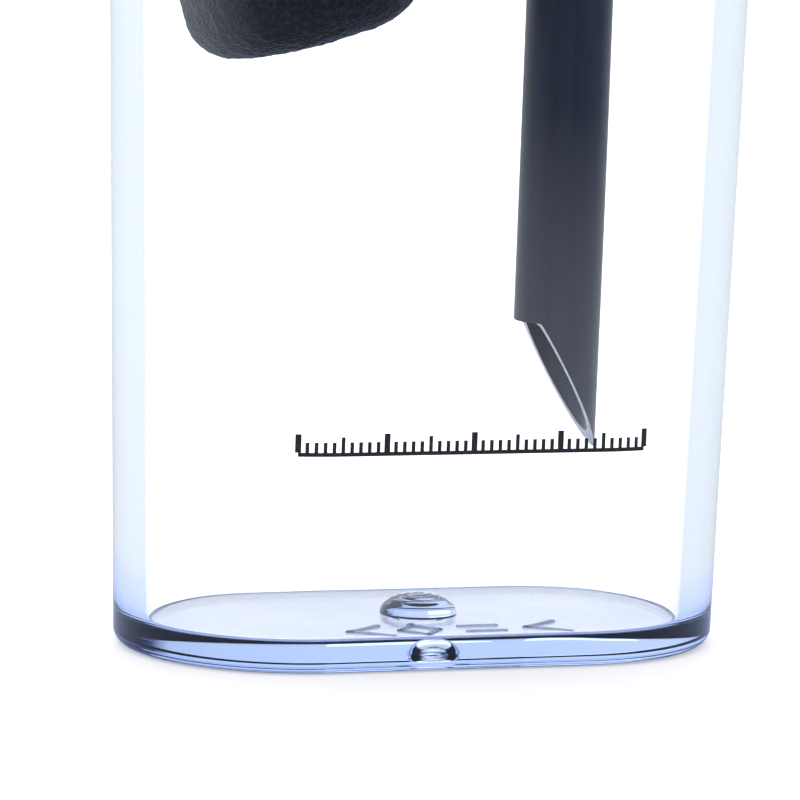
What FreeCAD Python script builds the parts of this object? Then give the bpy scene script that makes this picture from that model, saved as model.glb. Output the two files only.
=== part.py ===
import FreeCAD, Part
import math
import os
import Sketcher

# Pump-driven carbon dioxide diffuser for a planted aquarium, in millimetres, +Z up.
# The origin is the middle of the cup's underside. X runs along the long side of the
# oblong cup, -Y is the front and +Y is the side that faces the aquarium glass. The names
# that end in _X count to the left of the middle for the pump, port, gas line, gland and foam.

SIZES = [
    ("cup_width", 42.0, "outside width of the cup at its underside"),
    ("cup_depth", 23.8, "outside depth of the cup at its underside"),
    ("cup_height", 70.0, "height of the cup"),
    ("cup_draft", 1.38, "draft of the cup's walls, in degrees"),
    ("cup_wall", 2.2, "wall of the cup"),
    ("cup_floor", 2.0, "floor of the cup"),
    ("foot_round", 1.0, "rounding of the cup's lower edge"),
    ("dome_radius", 2.5, "radius of the moulding dome on the floor"),
    ("dome_rise", 1.7, "height of the moulding dome above the floor"),
    ("dome_skirt", 2.9, "radius of the ring round the moulding dome"),
    ("skirt_rise", 0.5, "height of the ring round the moulding dome"),
    ("recess_radius", 1.9, "radius of the recess under the dome"),
    ("recess_depth", 1.0, "depth of the recess under the dome"),
    ("head_overhang", 0.6, "how far the head stands out over the cup's rim"),
    ("lid_thickness", 3.0, "flange of the lid"),
    ("plug_depth", 6.0, "how far the lid's plug reaches into the cup"),
    ("plug_wall", 1.8, "wall of the lid's plug"),
    ("slip_gap", 0.25, "gap between the lid's plug and the cup"),
    ("seal_height", 2.0, "height of the lid's seal"),
    ("seal_lift", 1.6, "height of the seal above the plug's lower edge"),
    ("seal_gap", 0.12, "gap between the seal and the cup"),
    ("groove_depth", 0.9, "depth of the groove for the lid's seal"),
    ("riser_offset", 9.75, "distance of the riser tube from the middle, to the right"),
    ("tube_radius", 3.0, "outside radius of the riser tube"),
    ("tube_wall", 0.7, "wall of the riser tube"),
    ("mouth_tip", 13.4, "height of the lowest point of the riser's slanted mouth"),
    ("mouth_heel", 22.25, "height of the upper end of the slanted mouth"),
    ("mouth_flat", 1.1, "straight stretch at the upper end of the mouth"),
    ("grommet_radius", 4.6, "outside radius of the riser's grommet"),
    ("grommet_lip", 1.2, "flange of the grommet"),
    ("port_margin", 1.2, "distance between the outlet port and the chamber's side"),
    ("port_radius", 2.0, "bore of the outlet port"),
    ("spigot_wall", 0.8, "wall of the spigot"),
    ("spigot_length", 21.0, "length of the spigot below the lid"),
    ("foam_radius", 8.2, "radius of the foam plug"),
    ("foam_height", 12.0, "height of the foam plug"),
    ("foam_tilt", 17.0, "tilt of the foam plug, in degrees"),
    ("foam_shift", 6.8, "distance of the foam's lower face from the spigot, to the right"),
    ("foam_drop", 7.3, "height of the spigot's end over the foam's lower face"),
    ("foam_round", 3.2, "rounding of the foam's edges"),
    ("head_wall", 1.8, "wall of the head"),
    ("base_height", 18.0, "height of the pump base"),
    ("can_margin", 0.186, "gap between the can's flange and the left end screw"),
    ("volute_radius", 9.6, "radius of the impeller's chamber"),
    ("plenum_floor", 2.0, "floor under the intake"),
    ("plenum_height", 6.0, "height of the intake"),
    ("plenum_left", 3.2, "distance of the intake's left side from the pump's axis"),
    ("plenum_right", 7.6, "distance of the intake's right side from the pump's axis"),
    ("plenum_back", 5.0, "how far the intake reaches behind the middle"),
    ("eye_thickness", 1.5, "thickness of the eye plate"),
    ("eye_hole", 1.5, "radius of each hole in the eye plate"),
    ("eye_ring", 3.8, "distance of the eye plate's holes from the pump's axis"),
    ("shaft_radius", 1.0, "radius of the pump's shaft"),
    ("running_gap", 0.05, "radial gap between the impeller and its shaft"),
    ("lower_bush_radius", 2.1, "radius of the lower bush"),
    ("lower_bush_height", 2.0, "height of the lower bush"),
    ("upper_bush_radius", 3.0, "radius of the upper bush"),
    ("upper_bush_height", 1.5, "height of the upper bush"),
    ("tip_gap", 1.8, "gap between the impeller's tips and the chamber's side"),
    ("impeller_gap", 0.8, "gap under and over the impeller"),
    ("impeller_disc", 1.0, "thickness of the impeller's disc"),
    ("vane_thickness", 0.9, "thickness of each vane"),
    ("vane_count", 6, "number of vanes"),
    ("sleeve_radius", 2.6, "radius of the sleeve that carries the magnet"),
    ("magnet_gap", 0.5, "radial gap between the magnet and the can"),
    ("magnet_height", 15.0, "height of the rotor magnet"),
    ("can_inset", 2.9, "how far the can stands inside the chamber's side"),
    ("can_wall", 0.7, "wall of the rotor can"),
    ("can_height", 18.0, "height of the rotor can over its flange"),
    ("can_seat", 0.8, "how far the can's flange reaches over the chamber's side"),
    ("can_flange", 1.5, "thickness of the can's flange"),
    ("can_seal_height", 0.8, "height of the can's seal"),
    ("pole_gap", 0.2, "gap between the rotor can and the stator's poles"),
    ("pipe_gap", 0.1, "gap between the gas pipe and the coil's bobbin"),
    ("core_gap", 1.786, "gap between the stator's legs and the head's wall"),
    ("leg_wrap", 1.1, "how far the stator's legs reach round the rotor can"),
    ("yoke_height", 5.0, "height of the stator's yoke"),
    ("yoke_lift", 3.0, "height of the yoke over the rotor can"),
    ("leg_lift", 0.0, "height of the stator's legs over the pump base"),
    ("bobbin_wall", 0.6, "wall of the coil's bobbin"),
    ("coil_build", 1.6, "thickness of the winding"),
    ("bobbin_gap", 0.3, "gap between the bobbin and the stator's legs"),
    ("motor_height", 31.0, "height of the motor housing"),
    ("gasket_thickness", 0.6, "thickness of the cap's gasket"),
    ("cap_thickness", 3.0, "thickness of the top cap"),
    ("cap_round", 1.0, "rounding of the top cap's edge"),
    ("boss_radius", 2.4, "radius of the screw bosses"),
    ("screw_radius", 1.1, "radius of the screws' shanks"),
    ("screw_head_radius", 2.0, "radius of the screws' heads"),
    ("screw_head", 1.5, "height of the screws' heads"),
    ("screw_slack", 0.15, "gap round the screws"),
    ("screw_bite", 6.0, "how far the long screws reach into the pump base"),
    ("end_screw_gap", 0.1, "gap between the end screws and the head's wall"),
    ("side_screw_gap", 0.9, "gap between the side screws and the head's wall"),
    ("side_screw_shift", 0.3, "distance of the side screws from the can's right edge, to the left"),
    ("lid_screw_shift", 3.5, "distance of the lid's screws from the intake's right side"),
    ("lid_screw_gap", 1.19, "gap between the lid's screw heads and its plug"),
    ("lid_screw_length", 9.0, "length of the lid's screws under their heads"),
    ("stem_gap", 0.2, "radial gap between the riser tube and the nozzle's stem"),
    ("stem_wall", 1.3, "wall of the nozzle's stem"),
    ("swivel_gap", 0.08, "radial gap round the nozzle's stem"),
    ("socket_wall", 2.0, "wall of the nozzle's socket"),
    ("socket_height", 5.0, "height of the nozzle's socket over the cap"),
    ("stem_depth", 6.0, "how far the nozzle's stem reaches into its socket"),
    ("elbow_radius", 6.0, "radius of the nozzle's bend"),
    ("neck_step", 0.3, "step from the nozzle's stem to its neck"),
    ("nozzle_wall", 1.2, "wall of the nozzle"),
    ("nozzle_length", 9.0, "straight length of the nozzle"),
    ("nozzle_lip", 0.6, "how far the nozzle's lip stands out"),
    ("collar_height", 2.0, "height of the nozzle's collar over its socket"),
    ("ring_height", 1.0, "height of the nozzle's seal"),
    ("ring_depth", 0.6, "depth of the groove for the nozzle's seal"),
    ("gas_gap", 0.6, "gap between the gas pipe and the stator core"),
    ("gas_margin", 0.814, "distance of the gas line from the chamber's side"),
    ("gas_pipe_radius", 1.2, "outside radius of the gas pipe"),
    ("gas_bore", 0.7, "bore of the gas line"),
    ("barb_flange", 3.4, "radius of the barb's flange"),
    ("barb_boss", 2.9, "radius of the barb's threaded boss"),
    ("barb_tip", 1.75, "radius of the barb's neck"),
    ("barb_tooth", 2.3, "radius of the barb's teeth"),
    ("barb_teeth", 3, "number of teeth on the barb"),
    ("barb_pitch", 2.6, "distance between the barb's teeth"),
    ("nut_radius", 4.2, "radius of the hose nut"),
    ("nut_height", 6.0, "height of the hose nut"),
    ("nut_lip", 1.4, "thickness of the hose nut's top"),
    ("hose_radius", 3.1, "hole for the hose in the nut's top"),
    ("nut_gap", 0.06, "radial gap between the hose nut and its boss"),
    ("nut_ribs", 12, "number of grip ribs on the hose nut"),
    ("gland_shift", 6.9, "distance of the cable gland from the pump's axis, to the left"),
    ("gland_offset_y", 7.2, "distance of the cable gland from the middle, to the back"),
    ("gland_flange", 3.6, "radius of the gland's flange"),
    ("gland_neck", 2.6, "radius of the gland's neck"),
    ("gland_height", 13.0, "height of the gland's boot"),
    ("gland_tip", 2.5, "radius of the boot's tip"),
    ("cable_radius", 1.6, "bore for the power cable"),
    ("window_margin", 1.5, "how far the strainer stands round the intake"),
    ("strainer_reach", 3.6, "how far the strainer stands out of the head"),
    ("strainer_wall", 1.3, "wall of the strainer"),
    ("strainer_slot", 0.9, "width of each slot in the strainer"),
    ("strainer_slots", 7, "number of slots in the strainer"),
    ("slider_width", 5.6, "width of the flow slider"),
    ("slider_thickness", 1.1, "thickness of the flow slider"),
    ("slider_travel", 5.0, "travel of the flow slider"),
    ("slider_gap", 0.3, "gap round the flow slider"),
    ("slider_room", 3.1, "room for the open flow slider beside the intake"),
    ("tab_height", 1.6, "height of the flow slider's tab"),
    ("tab_width", 2.4, "width of the flow slider's tab"),
    ("tab_reach", 1.6, "how far the tab stands out of the strainer"),
    ("rail_width", 10.0, "width of the bracket's rail"),
    ("rail_neck", 6.5, "width of the rail's root"),
    ("rail_depth", 2.2, "how far the rail stands out of the housing"),
    ("rail_lift", 3.0, "height of the rail's lower end over the pump base"),
    ("rail_length", 23.0, "length of the rail"),
    ("rail_stop", 1.6, "height of the stop over the rail"),
    ("rail_gap", 0.15, "gap between the rail and the bracket"),
    ("bracket_width", 40.0, "width of the suction bracket"),
    ("bracket_height", 16.0, "height of the suction bracket"),
    ("bracket_plate", 2.2, "thickness of the suction bracket"),
    ("shoe_width", 16.0, "width of the bracket's shoe"),
    ("suction_offset", 13.2, "distance of the suction cups from the middle"),
    ("suction_radius", 11.0, "radius of the suction cups"),
    ("suction_rise", 6.6, "height of the suction cups"),
    ("suction_neck", 2.0, "radius of the suction cups' necks"),
    ("suction_knob", 3.0, "radius of the suction cups' knobs"),
    ("knob_height", 1.9, "height of the suction cups' knobs"),
]

doc = FreeCAD.newDocument("CarbonDioxideDiffuser")
sheet = doc.addObject("Spreadsheet::Sheet", "Sizes")


class Size:
    """A number together with the sheet formula that it comes from."""

    def __init__(self, value, formula):
        self.value = float(value)
        self.formula = formula

    def __add__(self, other):
        other = as_size(other)
        return Size(self.value + other.value, "(%s + %s)" % (self.formula, other.formula))

    def __sub__(self, other):
        other = as_size(other)
        return Size(self.value - other.value, "(%s - %s)" % (self.formula, other.formula))

    def __mul__(self, other):
        other = as_size(other)
        return Size(self.value * other.value, "(%s * %s)" % (self.formula, other.formula))

    def __truediv__(self, other):
        other = as_size(other)
        return Size(self.value / other.value, "(%s / %s)" % (self.formula, other.formula))

    def __rsub__(self, other):
        return as_size(other) - self

    def __neg__(self):
        return Size(-self.value, "(0 - %s)" % self.formula)


def as_size(number):
    """Plain numbers take part in sums of sizes as they are."""
    if isinstance(number, Size):
        return number
    return Size(number, "(%r)" % float(number))


def tangent(angle):
    """Tangent of an angle in degrees."""
    return Size(math.tan(math.radians(angle.value)), "tan(%s * 1deg)" % angle.formula)


def root(size):
    """Square root of a size."""
    return Size(math.sqrt(size.value), "sqrt(%s)" % size.formula)


def write_sheet():
    """Puts every driving dimension in the sheet and returns them by name."""
    named = {}
    for row, (name, value, note) in enumerate(SIZES, start=1):
        sheet.set("A%d" % row, name)
        sheet.set("B%d" % row, repr(value))
        sheet.setAlias("B%d" % row, name)
        sheet.set("C%d" % row, note)
        named[name] = Size(value, "Sizes.%s" % name)
    doc.recompute()
    return named


S = write_sheet()
ZERO = as_size(0)


# ---- Small tools: every one binds what it makes to the sheet ----

def bind(thing, **sizes):
    """Sets each named property and keeps it bound to its size."""
    for name, size in sizes.items():
        size = as_size(size)
        setattr(thing, name, size.value)
        thing.setExpression(name, size.formula)


def place(thing, x=ZERO, y=ZERO, z=ZERO, axis=None, angle=ZERO):
    """Puts a sub-part in the model, bound to sizes."""
    x, y, z, angle = as_size(x), as_size(y), as_size(z), as_size(angle)
    turn = FreeCAD.Rotation(FreeCAD.Vector(*(axis or (0, 0, 1))), angle.value)
    thing.Placement = FreeCAD.Placement(FreeCAD.Vector(x.value, y.value, z.value), turn)
    for letter, size in (("x", x), ("y", y), ("z", z)):
        thing.setExpression(".Placement.Base.%s" % letter, size.formula)
    if axis is not None:
        thing.setExpression(".Placement.Rotation.Angle", "%s * 1deg" % angle.formula)


def new_body(name):
    body = doc.addObject("PartDesign::Body", name)
    body.Label = name
    return body


def new_sketch(body, plane="XY", lift=ZERO):
    """A sketch on one of the body's own planes, moved along the plane's normal."""
    lift = as_size(lift)
    sketch = body.newObject("Sketcher::SketchObject", body.Name + "_sketch")
    origin_plane = [f for f in body.Origin.OriginFeatures if f.Role == plane + "_Plane"][0]
    sketch.AttachmentSupport = [(origin_plane, "")]
    sketch.MapMode = "FlatFace"
    sketch.AttachmentOffset = FreeCAD.Placement(FreeCAD.Vector(0, 0, lift.value), FreeCAD.Rotation())
    sketch.setExpression(".AttachmentOffset.Base.z", lift.formula)
    return sketch


def hold(sketch, kind, size, *where):
    """A dimension in a sketch, bound to its size."""
    size = as_size(size)
    number = sketch.addConstraint(Sketcher.Constraint(kind, *where, size.value))
    sketch.setExpression("Constraints[%d]" % number, size.formula)


def add_circle(sketch, radius, x=ZERO, y=ZERO):
    radius, x, y = as_size(radius), as_size(x), as_size(y)
    centre = FreeCAD.Vector(x.value, y.value, 0)
    ring = sketch.addGeometry(Part.Circle(centre, FreeCAD.Vector(0, 0, 1), radius.value))
    hold(sketch, "DistanceX", x, -1, 1, ring, 3)
    hold(sketch, "DistanceY", y, -1, 1, ring, 3)
    hold(sketch, "Radius", radius, ring)


def add_outline(sketch, corners):
    """A closed outline of straight edges, each corner bound to two sizes."""
    corners = [(as_size(a), as_size(b)) for a, b in corners]
    points = [FreeCAD.Vector(a.value, b.value, 0) for a, b in corners]
    ends = points[1:] + points[:1]
    lines = [sketch.addGeometry(Part.LineSegment(p, q)) for p, q in zip(points, ends)]
    for line, following in zip(lines, lines[1:] + lines[:1]):
        sketch.addConstraint(Sketcher.Constraint("Coincident", line, 2, following, 1))
    for line, (across, up) in zip(lines, corners):
        hold(sketch, "DistanceX", across, -1, 1, line, 1)
        hold(sketch, "DistanceY", up, -1, 1, line, 1)


def add_box(sketch, left, right, low, high):
    add_outline(sketch, [(left, low), (right, low), (right, high), (left, high)])


def add_oblong(sketch, width, depth):
    """An oblong with two straight sides and two half-round ends, about the middle."""
    width, depth = as_size(width), as_size(depth)
    half = (width - depth) / 2
    radius = depth / 2
    centre_x, reach, up = half.value, radius.value, FreeCAD.Vector(0, 0, 1)
    right = Part.Circle(FreeCAD.Vector(centre_x, 0, 0), up, reach)
    left = Part.Circle(FreeCAD.Vector(-centre_x, 0, 0), up, reach)
    quarter = math.pi / 2
    ends = [
        sketch.addGeometry(Part.ArcOfCircle(right, -quarter, quarter)),
        sketch.addGeometry(Part.ArcOfCircle(left, quarter, 3 * quarter)),
    ]
    back = sketch.addGeometry(Part.LineSegment(
        FreeCAD.Vector(centre_x, reach, 0), FreeCAD.Vector(-centre_x, reach, 0)))
    front = sketch.addGeometry(Part.LineSegment(
        FreeCAD.Vector(-centre_x, -reach, 0), FreeCAD.Vector(centre_x, -reach, 0)))
    chain = [(ends[0], back), (back, ends[1]), (ends[1], front), (front, ends[0])]
    for first, following in chain:
        sketch.addConstraint(Sketcher.Constraint("Tangent", first, 2, following, 1))
    hold(sketch, "DistanceX", half, -1, 1, ends[0], 3)
    hold(sketch, "DistanceY", ZERO, -1, 1, ends[0], 3)
    hold(sketch, "DistanceX", -half, -1, 1, ends[1], 3)
    hold(sketch, "Radius", radius, ends[0])
    sketch.addConstraint(Sketcher.Constraint("Horizontal", back))


def feature(body, kind, sketch, length, backwards=False, both_ways=False):
    """Pad or Pocket of a sketch."""
    made = body.newObject("PartDesign::" + kind, body.Name + "_" + kind)
    made.Profile = sketch
    bind(made, Length=length)
    made.Reversed = backwards
    if both_ways:
        made.SideType = "Symmetric"
    body.Tip = made
    return made


def pad(body, sketch, length, **options):
    return feature(body, "Pad", sketch, length, **options)


def cut_up(body, sketch, length):
    """Removes material above an XY sketch."""
    return feature(body, "Pocket", sketch, length, backwards=True)


def cut_down(body, sketch, length):
    """Removes material below an XY sketch."""
    return feature(body, "Pocket", sketch, length)


def turn(body, corners, kind="Revolution"):
    """Turns an outline of (radius, height) corners about the body's own Z axis."""
    sketch = new_sketch(body, "XZ")
    add_outline(sketch, corners)
    made = body.newObject("PartDesign::" + kind, body.Name + "_" + kind)
    made.Profile = sketch
    made.ReferenceAxis = (sketch, ["V_Axis"])
    made.Angle = 360
    body.Tip = made
    return made


def tapered(body, kind, low_width, low_depth, low, high_width, high_depth, high):
    """A loft from one oblong to another."""
    sections = []
    for width, depth, lift in ((low_width, low_depth, low), (high_width, high_depth, high)):
        sketch = new_sketch(body, "XY", lift)
        add_oblong(sketch, width, depth)
        sections.append(sketch)
    made = body.newObject("PartDesign::" + kind, body.Name + "_" + kind)
    made.Profile = sections[0]
    made.Sections = sections[1:]
    made.Ruled = True
    body.Tip = made
    return made


def round_edges(body, radius, wanted):
    """Rounds the edges whose bounding box passes the test."""
    doc.recompute()
    base = body.Tip
    names = ["Edge%d" % (i + 1) for i, edge in enumerate(base.Shape.Edges) if wanted(edge.BoundBox)]
    made = body.newObject("PartDesign::Fillet", body.Name + "_round")
    made.Base = (base, names)
    bind(made, Radius=radius)
    body.Tip = made
    return made


def at_height(level):
    """A test for edges that lie flat at one height."""
    return lambda box: abs(box.ZMin - level.value) < 1e-4 and abs(box.ZMax - level.value) < 1e-4


def oblong_ring(body, width, depth, wall, height, lift=ZERO):
    """A wall that follows an oblong, standing at the given height."""
    sketch = new_sketch(body, "XY", lift)
    add_oblong(sketch, width, depth)
    add_oblong(sketch, width - wall * 2, depth - wall * 2)
    return pad(body, sketch, height)


# ---- Places that several sub-parts share ----

SLOPE = tangent(S["cup_draft"])
MOUTH_GROWTH = SLOPE * S["cup_height"] * 2
HEAD_WIDTH = S["cup_width"] + MOUTH_GROWTH + S["head_overhang"] * 2
HEAD_DEPTH = S["cup_depth"] + MOUTH_GROWTH + S["head_overhang"] * 2
BASE_Z = S["cup_height"] + S["lid_thickness"]
EYE_Z = BASE_Z + S["plenum_floor"] + S["plenum_height"]
MOTOR_Z = BASE_Z + S["base_height"]
CAN_FLOOR = MOTOR_Z - S["can_flange"]
CAN_TOP = MOTOR_Z + S["can_height"]
CAP_Z = MOTOR_Z + S["motor_height"] + S["gasket_thickness"]
CAP_TOP = CAP_Z + S["cap_thickness"]
SOCKET_TOP = CAP_TOP + S["socket_height"]
IMPELLER_Z = EYE_Z + S["eye_thickness"] + S["impeller_gap"]
IMPELLER_TOP = CAN_FLOOR - S["impeller_gap"]
SLEEVE_TOP = CAN_TOP - S["can_wall"] - S["upper_bush_height"] - 0.3
FRONT_Y = -HEAD_DEPTH / 2
BACK_Y = HEAD_DEPTH / 2
STEM_FLOOR = SOCKET_TOP - S["stem_depth"]
END_SCREW_X = HEAD_WIDTH / 2 - S["head_wall"] - S["screw_radius"] - S["end_screw_gap"]
SIDE_SCREW_Y = HEAD_DEPTH / 2 - S["head_wall"] - S["screw_radius"] - S["side_screw_gap"]
CAN_RADIUS = S["volute_radius"] - S["can_inset"]
CAN_FLANGE_RADIUS = S["volute_radius"] + S["can_seat"]
MAGNET_RADIUS = CAN_RADIUS - S["can_wall"] - S["magnet_gap"]
IMPELLER_RADIUS = S["volute_radius"] - S["tip_gap"]
PUMP_X = END_SCREW_X - S["screw_radius"] - S["can_margin"] - CAN_FLANGE_RADIUS
PORT_X = PUMP_X + S["volute_radius"] - S["port_radius"] - S["port_margin"]
GAS_REACH = S["volute_radius"] - S["gas_margin"]
LEG_INSIDE = CAN_RADIUS - S["leg_wrap"]
GAS_Y = LEG_INSIDE - S["bobbin_gap"] + S["pipe_gap"] + S["gas_pipe_radius"]
GAS_SIDE = root(GAS_REACH * GAS_REACH - GAS_Y * GAS_Y)
GAS_X = PUMP_X + GAS_SIDE
CORE_WIDTH = (GAS_SIDE - S["gas_pipe_radius"] - S["gas_gap"]) * 2
GLAND_X = PUMP_X + S["gland_shift"]
PLENUM_LEFT = PUMP_X + S["plenum_left"]
PLENUM_RIGHT = PUMP_X - S["plenum_right"]
SIDE_SCREW_X = CAN_FLANGE_RADIUS - PUMP_X - S["side_screw_shift"]
LID_SCREW_X = S["lid_screw_shift"] - PLENUM_RIGHT
STEM_RADIUS = S["tube_radius"] + S["stem_gap"] + S["stem_wall"]
NOZZLE_RADIUS = STEM_RADIUS - S["neck_step"]
CORE_REACH = HEAD_DEPTH / 2 - S["head_wall"] - S["core_gap"]
FOAM_X = PORT_X - S["foam_shift"]
FOAM_Z = S["cup_height"] - S["spigot_length"] - S["foam_drop"]
PLUG_GROWTH = SLOPE * (S["cup_height"] - S["plug_depth"]) * 2 - S["cup_wall"] * 2 - S["slip_gap"] * 2
PLUG_INSIDE_Y = (S["cup_depth"] + PLUG_GROWTH) / 2 - S["plug_wall"]
LID_SCREW_Y = PLUG_INSIDE_Y - S["screw_head_radius"] - S["lid_screw_gap"]
SCREW_PLACES = [
    (-END_SCREW_X, ZERO),
    (END_SCREW_X, ZERO),
    (SIDE_SCREW_X, -SIDE_SCREW_Y),
    (SIDE_SCREW_X, SIDE_SCREW_Y),
]
LID_SCREW_PLACES = [
    (LID_SCREW_X, -LID_SCREW_Y),
    (LID_SCREW_X, LID_SCREW_Y),
]


def cup_inside(height):
    """How much wider the cup's inside is at a height than the cup is outside at its foot."""
    return SLOPE * height * 2 - S["cup_wall"] * 2


# ---- The cup ----

def make_reaction_cup():
    """Clear oblong cup with a moulding dome on its floor and a recess under it."""
    body = new_body("reaction_cup")
    tapered(body, "AdditiveLoft", S["cup_width"], S["cup_depth"], ZERO,
            S["cup_width"] + MOUTH_GROWTH, S["cup_depth"] + MOUTH_GROWTH, S["cup_height"])
    low, high = cup_inside(S["cup_floor"]), cup_inside(S["cup_height"])
    tapered(body, "SubtractiveLoft", S["cup_width"] + low, S["cup_depth"] + low, S["cup_floor"],
            S["cup_width"] + high, S["cup_depth"] + high, S["cup_height"])
    round_edges(body, S["foot_round"], at_height(ZERO))
    floor = S["cup_floor"]
    shoulder = S["skirt_rise"]
    turn(body, [
        (0, floor / 2), (S["dome_skirt"], floor / 2), (S["dome_skirt"], floor + shoulder / 2),
        (S["dome_radius"], floor + shoulder), (S["dome_radius"], floor + S["dome_rise"] / 2),
        (S["dome_radius"] / 2, floor + S["dome_rise"]), (0, floor + S["dome_rise"])])
    turn(body, [(0, 0), (S["recess_radius"], 0),
                (S["recess_radius"] - S["recess_depth"] / 2, S["recess_depth"]),
                (0, S["recess_depth"])], "Groove")


# ---- Lid, riser tube and foam ----

def make_cup_lid():
    """Lid whose plug fits in the cup's mouth, with a groove for its seal."""
    body = new_body("cup_lid")
    flange = new_sketch(body)
    add_oblong(flange, HEAD_WIDTH, HEAD_DEPTH)
    pad(body, flange, S["lid_thickness"])
    width, depth = S["cup_width"] + PLUG_GROWTH, S["cup_depth"] + PLUG_GROWTH
    plug = new_sketch(body, lift=-S["plug_depth"])
    add_oblong(plug, width, depth)
    pad(body, plug, S["plug_depth"])
    hollow = new_sketch(body, lift=-S["plug_depth"])
    add_oblong(hollow, width - S["plug_wall"] * 2, depth - S["plug_wall"] * 2)
    cut_up(body, hollow, S["plug_depth"])
    groove = new_sketch(body, lift=S["seal_lift"] - S["plug_depth"])
    add_oblong(groove, width + 2, depth + 2)
    add_oblong(groove, width - S["groove_depth"] * 2, depth - S["groove_depth"] * 2)
    cut_up(body, groove, S["seal_height"])
    holes = new_sketch(body)
    add_circle(holes, S["grommet_radius"] - S["grommet_lip"] / 2, S["riser_offset"])
    add_circle(holes, S["port_radius"] + S["spigot_wall"], -PORT_X)
    for x, y in LID_SCREW_PLACES:
        add_circle(holes, S["screw_radius"] + S["screw_slack"], x, y)
    cut_up(body, holes, S["lid_thickness"])
    place(body, z=S["cup_height"])


def make_lid_seal():
    """Flat silicone ring in the plug's groove."""
    body = new_body("lid_seal")
    seal_z = S["cup_height"] - S["plug_depth"] + S["seal_lift"]
    outside = cup_inside(seal_z) - S["seal_gap"] * 2
    bottom = PLUG_GROWTH - S["groove_depth"] * 2
    ring = new_sketch(body)
    add_oblong(ring, S["cup_width"] + outside, S["cup_depth"] + outside)
    add_oblong(ring, S["cup_width"] + bottom, S["cup_depth"] + bottom)
    pad(body, ring, S["seal_height"])
    place(body, z=seal_z)


def make_riser_tube():
    """Grey tube whose slanted mouth draws water from near the cup's floor."""
    body = new_body("riser_tube")
    ring = new_sketch(body, lift=S["mouth_tip"])
    add_circle(ring, S["tube_radius"])
    add_circle(ring, S["tube_radius"] - S["tube_wall"])
    pad(body, ring, STEM_FLOOR + S["stem_depth"] / 2 - S["mouth_tip"])
    radius = S["tube_radius"]
    slant = new_sketch(body, "XZ")
    add_outline(slant, [
        (-radius - 1, S["mouth_heel"]), (S["mouth_flat"] - radius, S["mouth_heel"]),
        (radius, S["mouth_tip"]), (radius, S["mouth_tip"] - 1), (-radius - 1, S["mouth_tip"] - 1)])
    feature(body, "Pocket", slant, radius * 4, both_ways=True)
    place(body, x=S["riser_offset"])


def make_riser_grommet():
    """Rubber grommet that seals the riser tube in the lid."""
    body = new_body("riser_grommet")
    neck = S["grommet_radius"] - S["grommet_lip"] / 2
    bore = S["tube_radius"]
    lip = S["grommet_lip"]
    turn(body, [
        (bore, -lip), (S["grommet_radius"], -lip), (S["grommet_radius"], 0), (neck, 0),
        (neck, S["lid_thickness"]), (bore, S["lid_thickness"])])
    place(body, x=S["riser_offset"], z=S["cup_height"])


def make_foam_spigot():
    """Short pipe that carries the mixed water and gas down into the foam."""
    body = new_body("foam_spigot")
    outside = S["port_radius"] + S["spigot_wall"]
    turn(body, [
        (S["port_radius"], -S["spigot_length"]), (outside - S["spigot_wall"] / 2, -S["spigot_length"]),
        (outside, 1.5 - S["spigot_length"]), (outside, S["lid_thickness"]),
        (S["port_radius"], S["lid_thickness"])])
    place(body, x=-PORT_X, z=S["cup_height"])


def make_diffusing_foam():
    """Black foam plug, pushed onto the spigot a little askew."""
    body = new_body("diffusing_foam")
    disc = new_sketch(body)
    add_circle(disc, S["foam_radius"])
    pad(body, disc, S["foam_height"])
    round_edges(body, S["foam_round"], lambda box: box.XLength > 1)
    place(body, x=-FOAM_X, z=FOAM_Z, axis=(0, -1, 0), angle=S["foam_tilt"])


def make_screws(name, places, head_underside, length, upwards):
    """A group of pan-head screws; upwards means that the shank points up."""
    screws = []
    sign = 1 if upwards else -1
    for number, (x, y) in enumerate(places, start=1):
        tag = "%s_%d_" % (name, number)
        shank = doc.addObject("Part::Cylinder", tag + "shank")
        bind(shank, Radius=S["screw_radius"], Height=length)
        head = doc.addObject("Part::Cylinder", tag + "head")
        bind(head, Radius=S["screw_head_radius"], Height=S["screw_head"])
        place(shank, x, y, head_underside if upwards else head_underside - length)
        place(head, x, y, head_underside - S["screw_head"] if upwards else head_underside)
        whole = doc.addObject("Part::Fuse", tag + "whole")
        whole.Base, whole.Tool = shank, head
        slots = []
        for turned in (0, 90):
            slot = doc.addObject("Part::Box", "%sslot_%d" % (tag, turned))
            long, thin, deep = S["screw_head_radius"] * 1.2, as_size(0.5), S["screw_head"] * 0.6
            along, across = (long, thin) if turned == 0 else (thin, long)
            bind(slot, Length=along, Width=across, Height=deep)
            outer = head_underside - S["screw_head"] * sign
            place(slot, x - along / 2, y - across / 2, outer if upwards else outer - deep)
            slots.append(slot)
        cross = doc.addObject("Part::Fuse", tag + "cross")
        cross.Base, cross.Tool = slots
        screw = doc.addObject("Part::Cut", tag + "screw")
        screw.Base, screw.Tool = whole, cross
        screws.append(screw)
    group = doc.addObject("Part::Compound", name)
    group.Links = screws
    group.Label = name


# ---- Pump ----

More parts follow.
